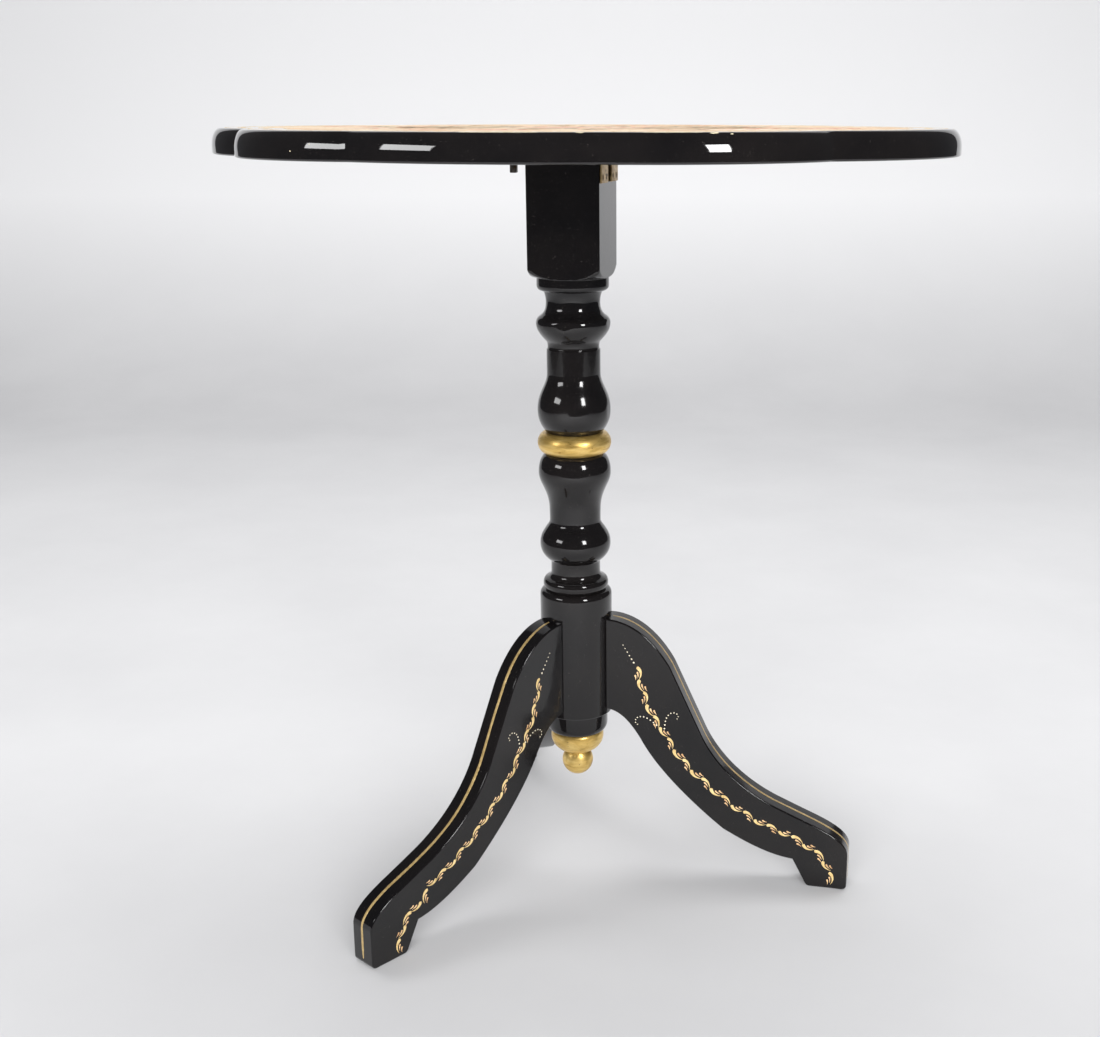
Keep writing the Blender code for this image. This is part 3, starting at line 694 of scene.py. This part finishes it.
class Painting:
    """Brush work on the field, one mesh for each colour."""

    def __init__(self):
        self.colours = {"coral": CORAL, "cream": CREAM, "leaf": LEAF_GREEN, "stem": STEM_BROWN,
                        "gold": VINE_GOLD}
        self.meshes = {name: bmesh.new() for name in self.colours}
        self.random = random.Random(12)

    def stroke(self, colour, line, widths, lift):
        add_stroke(self.meshes[colour], on_field, line, widths, lift)

    def leaf(self, start, heading, length, colour="leaf"):
        turn = self.random.uniform(-0.5, 0.5)
        line = arc_points(start, heading, turn, length, 7)
        self.stroke(colour, line, leaf_widths(length * 0.34, 7), 0.08 * MM)
        vein = arc_points(start, heading, turn, length * 0.86, 7)
        self.stroke("stem", vein, comma_widths(length * 0.045, 7), 0.12 * MM)

    def flower(self, centre, size, petal="coral", inner="cream"):
        start_turn = self.random.uniform(0, math.pi)
        for colour, petals, reach, lift in ((petal, 8, 1.0, 0.14), (inner, 6, 0.66, 0.20),
                                            (petal, 5, 0.40, 0.26)):
            for i in range(petals):
                heading = start_turn + 2 * math.pi * i / petals + self.random.uniform(-0.12, 0.12)
                tilt = self.random.uniform(-0.35, 0.35)
                length = size * reach * self.random.uniform(0.9, 1.06)
                line = arc_points(centre, heading, tilt, length, 7)
                widths = leaf_widths(size * reach * 0.72, 7)
                self.stroke(colour, line, widths, (lift + 0.02 * (i % 2)) * MM)
            start_turn += 0.5
        for i in range(7):
            spot = centre + size * 0.11 * aimed(6.3 * i) * (i > 0)
            add_dot(self.meshes["gold"], on_field, spot, size * 0.05, 0.32 * MM)

    def bud(self, start, heading, size, colour):
        for spread in (-0.45, 0.45, 0.0):
            line = arc_points(start, heading + spread, -spread * 1.6, size, 6)
            self.stroke(colour, line, leaf_widths(size * 0.42, 6), 0.13 * MM)
        for spread in (-0.8, 0.8):
            line = arc_points(start, heading + spread, -spread, size * 0.6, 5)
            self.stroke("leaf", line, leaf_widths(size * 0.16, 5), 0.16 * MM)

    def spray(self, start, heading, bend, length, size, petal, inner):
        """A curving stem with paired leaves, side buds and a flower at its end."""
        steps = 16
        line = [Vector(start)]
        for i in range(steps):
            angle = heading + bend * (i / steps - 0.3)
            line.append(line[-1] + aimed(angle) * length / steps)
        self.stroke("stem", line, comma_widths(2.2 * MM, steps), 0.10 * MM)
        for i in range(2, steps - 1, 2):
            ahead = line[i + 1] - line[i]
            base = math.atan2(ahead.y, ahead.x)
            side = 1 if i % 4 else -1
            self.leaf(line[i], base + side * self.random.uniform(0.6, 1.0),
                      length * self.random.uniform(0.17, 0.24))
            if i in (6, 10):
                stalk = arc_points(line[i], base - side * 0.9, side * 0.5, length * 0.22, 6)
                self.stroke("stem", stalk, comma_widths(1.4 * MM, 6), 0.09 * MM)
                self.bud(stalk[-1], base - side * 0.4, size * 0.62, inner)
        self.flower(line[-1], size, petal, inner)

    def finish(self):
        for name, bm in self.meshes.items():
            add_piece(f"painted_{name}", bm, self.colours[name], "top")


def on_oval(heading, half_length, half_width):
    return Vector(at(half_length * math.cos(heading), half_width * math.sin(heading)))


def build_painting():
    """A bouquet in the middle with a spray towards each lobe, and sprigs between them."""
    art = Painting()
    pairs = [("coral", "cream"), ("cream", "coral")]
    aims = [0, 38, 90, 142, 180, 218, 270, 322]
    reaches = [168, 132, 104, 132] * 2
    for i, (aim, reach) in enumerate(zip(aims, reaches)):
        heading = math.radians(aim)
        start = on_oval(heading, 78, 62)
        bend = 0.9 if i % 2 else -0.9
        art.spray(start, heading, bend, reach * MM, 30 * MM if reach > 110 else 25 * MM, *pairs[i % 2])
    for i in range(8):
        heading = math.radians(aims[i] + 22)
        start = on_oval(heading, 105, 88)
        art.spray(start, heading, 0.5, 82 * MM, 18 * MM, *pairs[(i + 1) % 2])
    for i in range(12):
        heading = 2 * math.pi * i / 12 + 0.15
        art.leaf(on_oval(heading, 50, 38), heading, 52 * MM)
    for i in range(6):
        heading = 2 * math.pi * i / 6 + 0.4
        art.flower(on_oval(heading, 48, 38), 27 * MM, *pairs[i % 2])
    art.flower(Vector((0, 0)), 34 * MM, "coral", "cream")
    art.finish()


def build_wear():
    """Rubbed and chipped places along the rim, where the pale ground shows."""
    bm = bmesh.new()
    profile = rim_profile()

    def on_lobe(index):
        """x runs along the lobe and y down the rim's section from the flat top."""
        centre, radius = LOBES[index]
        corner = NOTCHES[index] - centre
        first = math.atan2(corner.y, corner.x)

        def place(point, lift):
            angle = first + point.x / radius
            spot, heading = along(profile, point.y)
            inset = spot.x + lift * math.sin(heading)
            reach = (radius - inset) * aimed(angle)
            return top_place(centre + reach, spot.y - lift * math.cos(heading))
        return place

    # Each one's lobe, start and length along it, place down the rim and width, in millimetres
    scuffs = [(6, 105, 62, 1.6, 0.9), (6, 196, 6, 2.0, 2.0), (7, 32, 46, 1.5, 0.9),
              (7, 100, 2.5, 4.0, 1.8), (7, 84, 7, 2.2, 4.2), (5, 152, 1.5, 19.5, 1.4),
              (5, 172, 1.3, 14.0, 1.1), (0, 180, 22, 1.4, 0.8), (2, 60, 30, 1.5, 0.9),
              (3, 120, 5, 2.4, 3.0), (4, 90, 26, 1.6, 0.8), (1, 40, 4, 3.0, 2.2)]
    chance = random.Random(4)
    for index, start, length, inset, width in scuffs:
        count = max(6, round(length / 2))
        line = [Vector(((start + length * i / count) * MM, (inset + chance.uniform(-0.25, 0.25)) * MM))
                for i in range(count + 1)]
        widths = [width * MM * math.sin(math.pi * (0.05 + 0.9 * i / count)) ** 0.5
                  * chance.uniform(0.55, 1.0) for i in range(count + 1)]
        add_stroke(bm, on_lobe(index), line, widths, 0.06 * MM)
    add_piece("rim_wear", bm, GESSO, "top")


# --- pedestal --------------------------------------------------------------------------------

def block_section():
    """Points round a square with eased corners, which every ring of the upper turning follows."""
    side_steps, corner_steps = 26, 10
    reach = BLOCK_HALF - BLOCK_FILLET
    quarter = [Vector((BLOCK_HALF, reach * (2 * i / side_steps - 1))) for i in range(side_steps)]
    for i in range(corner_steps):
        angle = math.radians(90 * i / corner_steps)
        quarter.append(Vector((reach, reach)) + BLOCK_FILLET * aimed(angle))
    turns = [Matrix.Rotation(math.radians(90 * i), 2) for i in range(4)]
    return [turn @ point for turn in turns for point in quarter]


def soft_least(first, second, blend=0.7 * MM):
    share = max(blend - abs(first - second), 0) / blend
    return min(first, second) - share * share * blend / 4


def build_upper_column():
    profile = drawn((54, 629),
                    ((49, 618), (42, 613), (34.8, 612.6), 16),
                    ((34.3, 612.6), (34.8, 611.4), (34.8, 610.6), 3),
                    (34.8, 605.4),
                    ((34.8, 601.6), (33, 600), (28.6, 599.6), 9),
                    ((26.6, 596), (26, 591), (26.2, 588), 8),
                    ((26.4, 581), (28.5, 578.6), (31.5, 576.3), 14),
                    ((34.5, 574.2), (36, 572), (36, 568.6), 14),
                    ((36, 562), (31, 556), (26.6, 551.6), 18),
                    ((25.2, 550), (25, 548), (25, 545), 6),
                    (25.2, 544.2), (26.1, 543.4), (26.1, 532), (26.1, 520),
                    ((26.1, 508), (35.8, 502), (35.8, 483.5), 30),
                    ((35.8, 474), (32.5, 468), (28, 462.3), 20))
    section = block_section()
    ease = 1 * MM
    rings = [[Vector((0, 0, BLOCK_TOP))]]
    for inset, height in ((ease, BLOCK_TOP), (0.3 * ease, BLOCK_TOP - 0.3 * ease),
                          (0, BLOCK_TOP - ease)):
        rings.append([(point * (1 - inset / point.length)).to_3d() + Vector((0, 0, height))
                      for point in section])
    for radius, height in profile:
        rings.append([(point.normalized() * soft_least(radius, point.length)).to_3d()
                      + Vector((0, 0, height)) for point in section])
    rings.append([Vector((0, 0, profile[-1][1]))])
    bm = bmesh.new()
    loft(bm, rings)
    column = add_piece("upper_column", bm, LACQUER, "pedestal",
                       ["pedestal_upper"], 35, True)
    cut = bmesh.new()
    bmesh.ops.create_cube(cut, size=1)
    cutter = mesh_object("mortise_cutter", cut)
    cutter.location = (-BLOCK_HALF, 0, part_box("catch_bolt")[1].z - BOLT_THICKNESS / 2)
    cutter.scale = (24 * MM, 10.4 * MM, 5.9 * MM)
    cutter.hide_render = True
    cutter.display_type = "WIRE"
    hole = column.modifiers.new("Mortise", "BOOLEAN")
    hole.object = cutter
    hole.operation = "DIFFERENCE"
    hole.solver = "EXACT"
    column.modifiers.move(1, 0)


def add_turned(name, profile, material, node, sharp):
    bm = bmesh.new()
    add_turning(bm, profile)
    add_piece(name, bm, material, "pedestal", [node], sharp)


def build_ring():
    middle = (RING_TOP + RING_BOTTOM) / 2 / MM
    half = (RING_TOP - RING_BOTTOM) / 2 / MM
    profile = [(0, RING_TOP), *bead(27, 36.2, middle, half, 28), (0, RING_BOTTOM)]
    add_turned("gilt_collar_ring", profile, RING_GILT, "gilt_ring", 38)


def build_lower_column():
    top = RING_BOTTOM / MM - 0.3
    drum = DRUM_BOTTOM / MM
    profile = drawn((0, top), (28.5, top),
                    ((32.5, 438), (35.8, 431), (35.8, 421), 18),
                    ((35.8, 410), (26, 403), (25.6, 384), 28),
                    ((25.4, 378), (25.4, 375), (25.4, 372), 4),
                    ((25.6, 368), (28.5, 366), (30.5, 362.5), 14),
                    ((33.5, 358), (35.3, 354), (35.3, 348.4), 14),
                    ((35.3, 340), (31, 335), (25, 330.4), 18),
                    (24.7, 329.6), (24.6, 319),
                    ((24.8, 315), (27, 313), (30.2, 312), 8))
    profile += bead(30.2, 32.7, 306.5, 5.2, 12)
    profile += drawn((30.9, 300.9), (31.6, 300.6),
                     ((34, 300.4), (36.2, 298), (36.2, 294), 10),
                     (36.2, 240), (36.2, drum + 0.7), (35.7, drum), (0, drum))
    add_turned("lower_column", profile, LACQUER, "pedestal_lower", 30)


def build_foot_cap():
    top, bottom = DRUM_BOTTOM / MM - 0.3, CAP_BOTTOM / MM
    profile = drawn((0, top), (31.4, top), (31.4, 155),
                    ((31.2, 150.5), (29.6, 148), (26.6, bottom), 14), (0, bottom))
    add_turned("foot_cap", eased(profile, 0.6 * MM), LACQUER, "pedestal_foot_cap", 30)


def build_finial():
    top = CAP_BOTTOM / MM - 0.3
    profile = drawn((0, top), (24.5, top),
                    ((26.5, 146), (27.1, 142.5), (27.1, 139.4), 14),
                    ((27.1, 133), (23, 127.5), (17.5, 124.6), 20),
                    ((14.5, 123.2), (12.4, 122.8), (12.3, 121.5), 8))
    ball_radius, ball_height, ball_steps = 16, 111.3, 24
    for i in range(1, ball_steps + 1):
        angle = math.radians(39.6 - 129.6 * i / ball_steps)
        reach = ball_radius * math.cos(angle) if i < ball_steps else 0
        profile.append(at(reach, ball_height + ball_radius * math.sin(angle)))
    add_turned("gilt_finial", eased(profile, 0.8 * MM), FINIAL_GILT, "drop_finial", 38)


# --- legs ------------------------------------------------------------------------------------

def leg_outer():
    """A leg's upper edge, from the drum over the knee to the toe, as (distance, height)."""
    points = drawn((33.6, 273), (36, 273),
                   ((64, 272), (86, 251), (100.5, 226), 26),
                   ((110, 206), (121, 182), (131, 161), 14),
                   ((146, 126), (177, 98), (215, 82.7), 24),
                   ((227, 77.5), (239, 72.5), (250, 68), 8),
                   ((266, 61), (284.6, 52), (284.6, 38), 18),
                   (284.6, 20), (284.6, 5))
    return [Vector(point) for point in points]


def leg_outline():
    """The upper edge, then the foot and the lower edge back to the drum."""
    points = drawn((284.6, 5),
                   ((284.6, 2), (282.6, 0), (279.6, 0), 6),
                   (262, 0), (246.6, 0),
                   ((244.8, 0.2), (243.6, 1), (242.6, 2.6), 4),
                   (229, 28.5),
                   ((205, 30), (180, 42), (157, 54.3), 20),
                   ((130, 75), (88, 112), (70, 146), 26),
                   ((60, 162), (50, 174), (36, 176), 18),
                   (33.6, 176))
    return leg_outer() + [Vector(point) for point in points[1:]]


def leg_turn(name):
    return Matrix.Rotation(math.radians(LEG_ANGLES[name]), 3, "Z")


def on_leg_side(name, side):
    turn = leg_turn(name)

    def place(point, lift):
        return turn @ Vector((point.x, side * (LEG_HALF + lift), point.y))
    return place


def on_leg_edge(name):
    """Places on the upper edge: x runs along it from the drum, y across it."""
    turn = leg_turn(name)
    path = leg_outer()[1:]

    def place(point, lift):
        spot, heading = along(path, point.x)
        outward = Vector((-math.sin(heading), math.cos(heading)))
        spot = spot + outward * lift
        return turn @ Vector((spot.x, point.y, spot.y))
    return place, path_length(path)


def build_leg(name):
    turn = leg_turn(name)
    bm = bmesh.new()
    add_slab(bm, leg_outline(), -LEG_HALF, LEG_HALF, LEG_EDGE,
             lambda point, depth: turn @ Vector((point.x, depth, point.y)), 4)
    add_piece(f"{name}_carved", bm, LACQUER, "pedestal", [name], 35, True)


def build_gold_line(name, seed):
    """The hand-drawn line down the leg's upper edge, with a blob where the brush was set down."""
    place, length = on_leg_edge(name)
    chance = random.Random(seed)
    phases = [chance.uniform(0, 6.28) for _ in range(4)]
    count = 170
    points, widths = [], []
    for i in range(count + 1):
        run = 3 * MM + (length - 5 * MM) * i / count
        drift = 0.35 * math.sin(run * 31 + phases[0]) + 0.18 * math.sin(run * 97 + phases[1])
        points.append(Vector((run, drift * MM)))
        swell = 0.22 * math.sin(run * 53 + phases[2]) + 0.14 * math.sin(run * 171 + phases[3])
        blob = 1.6 * MM * math.exp(-((run - 5 * MM) / (2.6 * MM)) ** 2)
        ends = min(1, 0.45 + 6 * min(i, count - i) / count * 4)
        widths.append((GOLD_LINE + swell * MM + blob) * ends)
    bm = bmesh.new()
    add_stroke(bm, place, points, widths, 0.14 * MM)
    add_piece(f"{name}_gold_line", bm, LINE_GOLD, "pedestal")


def vine_path(name):
    end = VINE_ENDS[name]
    points = [(66, 224), (71, 204), (79, 181), (94, 156), (112, 130), (136, 106), (160, 87), (187, 70),
              (213, 59.5), (end - 33, 49.5), (end - 15, 38), (end - 4, 22), (end, 5)]
    return smooth_path([Vector(at(*point)) for point in points])


def add_sprig(dots, place, start, heading, turn, count):
    """A trail of fine dots that runs out, closes up and curls."""
    spot = Vector(start)
    for i in range(count):
        add_dot(dots, place, spot, (0.92 - 0.03 * i) * MM)
        heading += turn * (i / count) ** 1.4
        spot = spot + aimed(heading) * (4.2 - 0.17 * i) * MM


def build_vine(name, seed):
    gold, shade, dots = bmesh.new(), bmesh.new(), bmesh.new()
    path = vine_path(name)
    length = path_length(path)
    chance = random.Random(seed)
    for side in (-1, 1):
        place = on_leg_side(name, side)
        step = (length - 13 * MM) / (VINE_MOTIFS - 1)
        for k in range(VINE_MOTIFS):
            start, heading = along(path, k * step)
            size = chance.uniform(0.92, 1.08)
            aside = chance.uniform(-0.5, 0.5) * MM
            bend = 1 if k % 2 else -1
            start = start + Vector((-math.sin(heading), math.cos(heading))) * aside
            add_comma(gold, shade, place, start, heading, bend, 14.8 * size * MM, 4.9 * size * MM)
        for i in range(6):
            spot = Vector(at(63.0 - 2.2 * i, 229 + 3.6 * i))
            add_dot(dots, place, spot, (1.0 - 0.09 * i) * MM)
        add_sprig(dots, place, at(87, 163), math.radians(142), math.radians(62), 10)
        add_sprig(dots, place, at(95, 160), math.radians(84), math.radians(-70), 10)
    add_piece(f"{name}_vine", gold, VINE_GOLD, "pedestal")
    add_piece(f"{name}_vine_shading", shade, VINE_SHADE, "pedestal")
    add_piece(f"{name}_vine_dots", dots, DOT_PAINT, "pedestal")


# --- hardware --------------------------------------------------------------------------------

def half_disc(side):
    """One side of a slotted screw head."""
    edge = SCREW_SLOT / 2
    first = math.acos(edge / SCREW_HEAD)
    points = [SCREW_HEAD * aimed(-first + 2 * first * i / 20) for i in range(21)]
    return [Vector((side * point.x, point.y)) for point in points]


def build_screw(node, body):
    """A slotted head on the screw's own axis, its slot left at the angle it was driven to."""
    low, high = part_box(node)
    size = high - low
    depth = max(range(3), key=lambda axis: size[axis])
    middle = (low + high) / 2
    outward = Vector((0, 0, 0))
    if depth == 2:
        outward.z = -1
    else:
        outward.x = 1 if middle.x > 0 else -1
    head = middle.copy()
    head[depth] = (low if outward[depth] < 0 else high)[depth]
    driven = random.Random(node).uniform(0, math.pi)
    turn = outward.to_track_quat("Z", "Y").to_matrix() @ Matrix.Rotation(driven, 3, "Z")

    def place(point, height):
        return turn @ Vector((point.x, point.y, height)) + head

    bm = bmesh.new()
    shank = [(0, -0.6 * MM), (2.55 * MM, -0.6 * MM), (1.4 * MM, -1.6 * MM), (1.4 * MM, -11 * MM),
             (0, -12.6 * MM)]
    placed = Matrix.Translation(head) @ turn.to_4x4()
    add_turning(bm, shank, 32, placed)
    for side in (-1, 1):
        add_slab(bm, half_disc(side), -0.6 * MM, 0, 0.14 * MM, place, 2)
    add_piece(f"{node}_slotted", bm, SCREW_BRASS, body, [node], 30)


def knuckle_outline():
    """Section through a rolled knuckle and the sheet that it is rolled from."""
    clear = KNUCKLE_RADIUS + GAP
    inner = -KNUCKLE_RADIUS + LEAF_THICKNESS
    last = math.degrees(math.asin(inner / KNUCKLE_RADIUS))
    points = [Vector((clear, -KNUCKLE_RADIUS)), Vector((0, -KNUCKLE_RADIUS))]
    for i in range(1, 37):
        angle = math.radians(270 - (270 - last) * i / 36)
        points.append(KNUCKLE_RADIUS * aimed(angle))
    points.append(Vector((clear, inner)))
    return points


def build_hinge(label, centre_y):
    clear = KNUCKLE_RADIUS + GAP
    third = HINGE_LENGTH / 3

    def block_rolled(point, depth):
        return Vector((TILT_AXIS.x + point.y, depth, TILT_AXIS.z - point.x))

    def top_rolled(point, depth):
        return Vector((TILT_AXIS.x + point.x, depth, TILT_AXIS.z - point.y))

    def block_flat(point, height):
        return Vector((TILT_AXIS.x - KNUCKLE_RADIUS + height, point.x, TILT_AXIS.z - point.y))

    def top_flat(point, height):
        return Vector((TILT_AXIS.x + point.y, point.x, TILT_AXIS.z + KNUCKLE_RADIUS - height))

    low = centre_y - HINGE_LENGTH / 2
    plate = rounded_rectangle((low, clear), (low + HINGE_LENGTH, LEAF_WIDTH), 0.8 * MM)
    for leaf, flat, rolled, knuckles, body in (
            ("block_leaf", block_flat, block_rolled, (0, 2), "pedestal"),
            ("top_leaf", top_flat, top_rolled, (1,), "top")):
        bm = bmesh.new()
        add_slab(bm, plate, 0, LEAF_THICKNESS, 0.2 * MM, flat)
        for k in knuckles:
            start = low + k * third + (GAP / 2 if k else 0)
            stop = low + (k + 1) * third - (GAP / 2 if k < 2 else 0)
            add_slab(bm, knuckle_outline(), start, stop, 0.2 * MM, rolled, 2)
        node = f"{label}_{leaf}"
        add_piece(f"{node}_rolled", bm, BRASS, body, [node], 30)
    bm = bmesh.new()
    half = HINGE_LENGTH / 2 + GAP
    dome = [(0, 1.0), (1.0, 0.95), (1.8, 0.65), (2.3, 0.25), (2.3, 0)]
    profile = [(radius * MM, half + rise * MM) for radius, rise in dome]
    profile += [(radius * MM, -half - rise * MM) for radius, rise in reversed(dome)]
    lying = (Matrix.Translation((TILT_AXIS.x, centre_y, TILT_AXIS.z))
             @ Matrix.Rotation(math.radians(90), 4, "X"))
    add_turning(bm, profile, 32, lying)
    add_piece(f"{label}_pin_domed", bm, BRASS, "pedestal", [f"{label}_pin"], 40)


def build_catch():
    """Bolt housing with its sliding bolt under the top, and the strike plate on the block."""
    low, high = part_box("catch_housing")
    face = high.z
    tunnel_half, tunnel_wall = 7.5 * MM, 2.5 * MM
    flange = rounded_rectangle((low.x, low.y), (high.x, high.y), 2.5 * MM)
    bm = bmesh.new()
    add_slab(bm, flange, face - PLATE_THICKNESS, face, 0.3 * MM,
             lambda point, height: Vector((point.x, point.y, height)))
    roof = face - PLATE_THICKNESS
    floor = low.z + 1.5 * MM
    inner = tunnel_half - tunnel_wall
    section = [Vector(point) for point in ((-tunnel_half, roof), (-tunnel_half, low.z),
                                           (tunnel_half, low.z), (tunnel_half, roof), (inner, roof),
                                           (inner, floor), (-inner, floor), (-inner, roof))]
    add_slab(bm, section, low.x + 4 * MM, high.x - 4 * MM, 0.5 * MM,
             lambda point, depth: Vector((depth, point.x, point.y)))
    back = rounded_rectangle((-tunnel_half, low.z), (tunnel_half, roof), 0.6 * MM)
    add_slab(bm, back, low.x + 3.4 * MM, low.x + 4.4 * MM, 0.3 * MM,
             lambda point, depth: Vector((depth, point.x, point.y)))
    add_piece("catch_housing_pressed", bm, BRASS, "top", ["catch_housing"], 30)

    low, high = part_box("catch_bolt")
    top = high.z
    bottom = top - BOLT_THICKNESS
    bm = bmesh.new()
    nose = 1.6 * MM
    bar = [Vector(point) for point in ((low.x, bottom), (high.x - 2 * nose, bottom),
                                       (high.x, bottom + nose), (high.x, top), (low.x, top))]
    add_slab(bm, bar, low.y, high.y, 0.35 * MM, lambda point, depth: Vector((point.x, depth, point.y)))
    tab_x = -56.5 * MM
    tab = rounded_rectangle((tab_x - 3 * MM, low.z), (tab_x + 3 * MM, bottom + 0.6 * MM), 1.0 * MM)
    add_slab(bm, tab, low.y + 1 * MM, high.y - 1 * MM, 0.6 * MM,
             lambda point, depth: Vector((point.x, depth, point.y)))
    add_piece("catch_bolt_bar", bm, STEEL, "catch_bolt_body", ["catch_bolt"], 30)

    low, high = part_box("strike_plate")
    window_z = top - BOLT_THICKNESS / 2
    outer = rounded_rectangle((low.y, low.z), (high.y, high.z), 2 * MM)
    window = rounded_rectangle((-4.9 * MM, window_z - 2.65 * MM),
                               (4.9 * MM, window_z + 2.65 * MM), 0.4 * MM)
    ease = 0.25 * MM
    rings = [(outer, high.x), (outer, low.x + ease), (inset_outline(outer, ease), low.x),
             (inset_outline(window, -ease), low.x), (window, low.x + ease), (window, high.x)]
    bm = bmesh.new()
    loft(bm, [[Vector((depth, point.x, point.y)) for point in outline] for outline, depth in rings],
         wrap=True)
    add_piece("strike_plate_pressed", bm, BRASS, "pedestal", ["strike_plate"], 30)


# --- stage -----------------------------------------------------------------------------------

def build_stage():
    """A pale paper sweep: floor, curve and wall behind the table as the camera sees it."""
    front, start, radius, wall, half = -2.2, 2.2, 1.6, 5.0, 3.0
    profile = [(front, 0), (0, 0), (start, 0)]
    for i in range(1, 17):
        angle = math.radians(90 * i / 16)
        profile.append((start + radius * math.sin(angle), radius * (1 - math.cos(angle))))
    profile.append((start + radius, wall))
    heading = Matrix.Rotation(CAMERA_HEADING, 3, "Z")
    bm = bmesh.new()
    rows = [[bm.verts.new(heading @ Vector((x, side * half, z))) for side in (-1, 1)]
            for x, z in profile]
    for low, high in zip(rows, rows[1:]):
        bm.faces.new((low[0], high[0], high[1], low[1]))
    sweep = mesh_object("paper_sweep", bm)
    sweep.data.shade_smooth()
    sweep.data.materials.append(stage_paper("pale_paper"))


def add_softbox(name, bearing, distance, height, size, power, target=0.5, seen_in_gloss=False):
    """An area light that far round from the camera, to its right where the bearing is positive.

    The two studio lamps show as highlights in the gloss. The others only light what is matt."""
    data = bpy.data.lights.new(name, "AREA")
    data.shape = "RECTANGLE"
    data.size, data.size_y = size
    data.energy = power
    item = add_object(name, data)
    angle = CAMERA_HEADING + math.pi + math.radians(bearing)
    item.location = (distance * math.cos(angle), distance * math.sin(angle), height)
    aim = Vector((0, 0, target)) - item.location
    item.rotation_euler = aim.to_track_quat("-Z", "Y").to_euler()
    item.visible_glossy = seen_in_gloss
    item.visible_diffuse = not seen_in_gloss
    item.visible_camera = False


def build_lights():
    add_softbox("left_softbox", -56, 1.9, 1.20, (0.74, 0.40), 9, 0.5, True)
    add_softbox("right_softbox", 33, 1.9, 1.26, (0.38, 0.62), 21, 0.5, True)
    add_softbox("key_fill", 38, 2.0, 2.0, (1.4, 1.0), 8)
    add_softbox("front_fill", 0, 3.0, 1.2, (3.6, 1.6), 165)
    add_softbox("backdrop_fill", 180, 0.9, 2.8, (4.5, 1.2), 88, -2.6)
    world = bpy.data.worlds.new("dim_room")
    bpy.context.scene.world = world
    world.use_nodes = True
    tree = world.node_tree
    background = tree.nodes["Background"]
    path = add_node(tree, "LightPath", {})
    room = mixed(tree, path.outputs["Is Glossy Ray"], (0.30, 0.30, 0.31), (0.062, 0.062, 0.066))
    seen = mixed(tree, path.outputs["Is Camera Ray"], room, (0.80, 0.80, 0.81))
    tree.links.new(seen, background.inputs["Color"])


def build_camera():
    data = bpy.data.cameras.new("camera")
    data.lens = LENS
    data.shift_x, data.shift_y = CAMERA_SHIFT
    camera = add_object("camera", data)
    camera.location = CAMERA_PLACE
    ahead = Vector((math.cos(CAMERA_HEADING) * math.cos(CAMERA_DIP),
                    math.sin(CAMERA_HEADING) * math.cos(CAMERA_DIP), -math.sin(CAMERA_DIP)))
    camera.rotation_euler = ahead.to_track_quat("-Z", "Y").to_euler()
    bpy.context.scene.camera = camera


def main():
    bpy.context.scene.view_settings.view_transform = "Standard"
    build_camera()
    build_stage()
    build_lights()
    build_board()
    build_field()
    build_border()
    build_painting()
    build_wear()
    build_upper_column()
    build_ring()
    build_lower_column()
    build_foot_cap()
    build_finial()
    for seed, name in enumerate(LEG_ANGLES):
        build_leg(name)
        build_gold_line(name, seed)
        build_vine(name, 20 + seed)
    for label, centre_y in (("hinge_front", -20 * MM), ("hinge_back", 20 * MM)):
        build_hinge(label, centre_y)
    build_catch()
    for node in frame["nodes"]:
        if "screw" in node:
            body = "top" if "top_screw" in node or node.startswith("catch") else "pedestal"
            build_screw(node, body)


main()
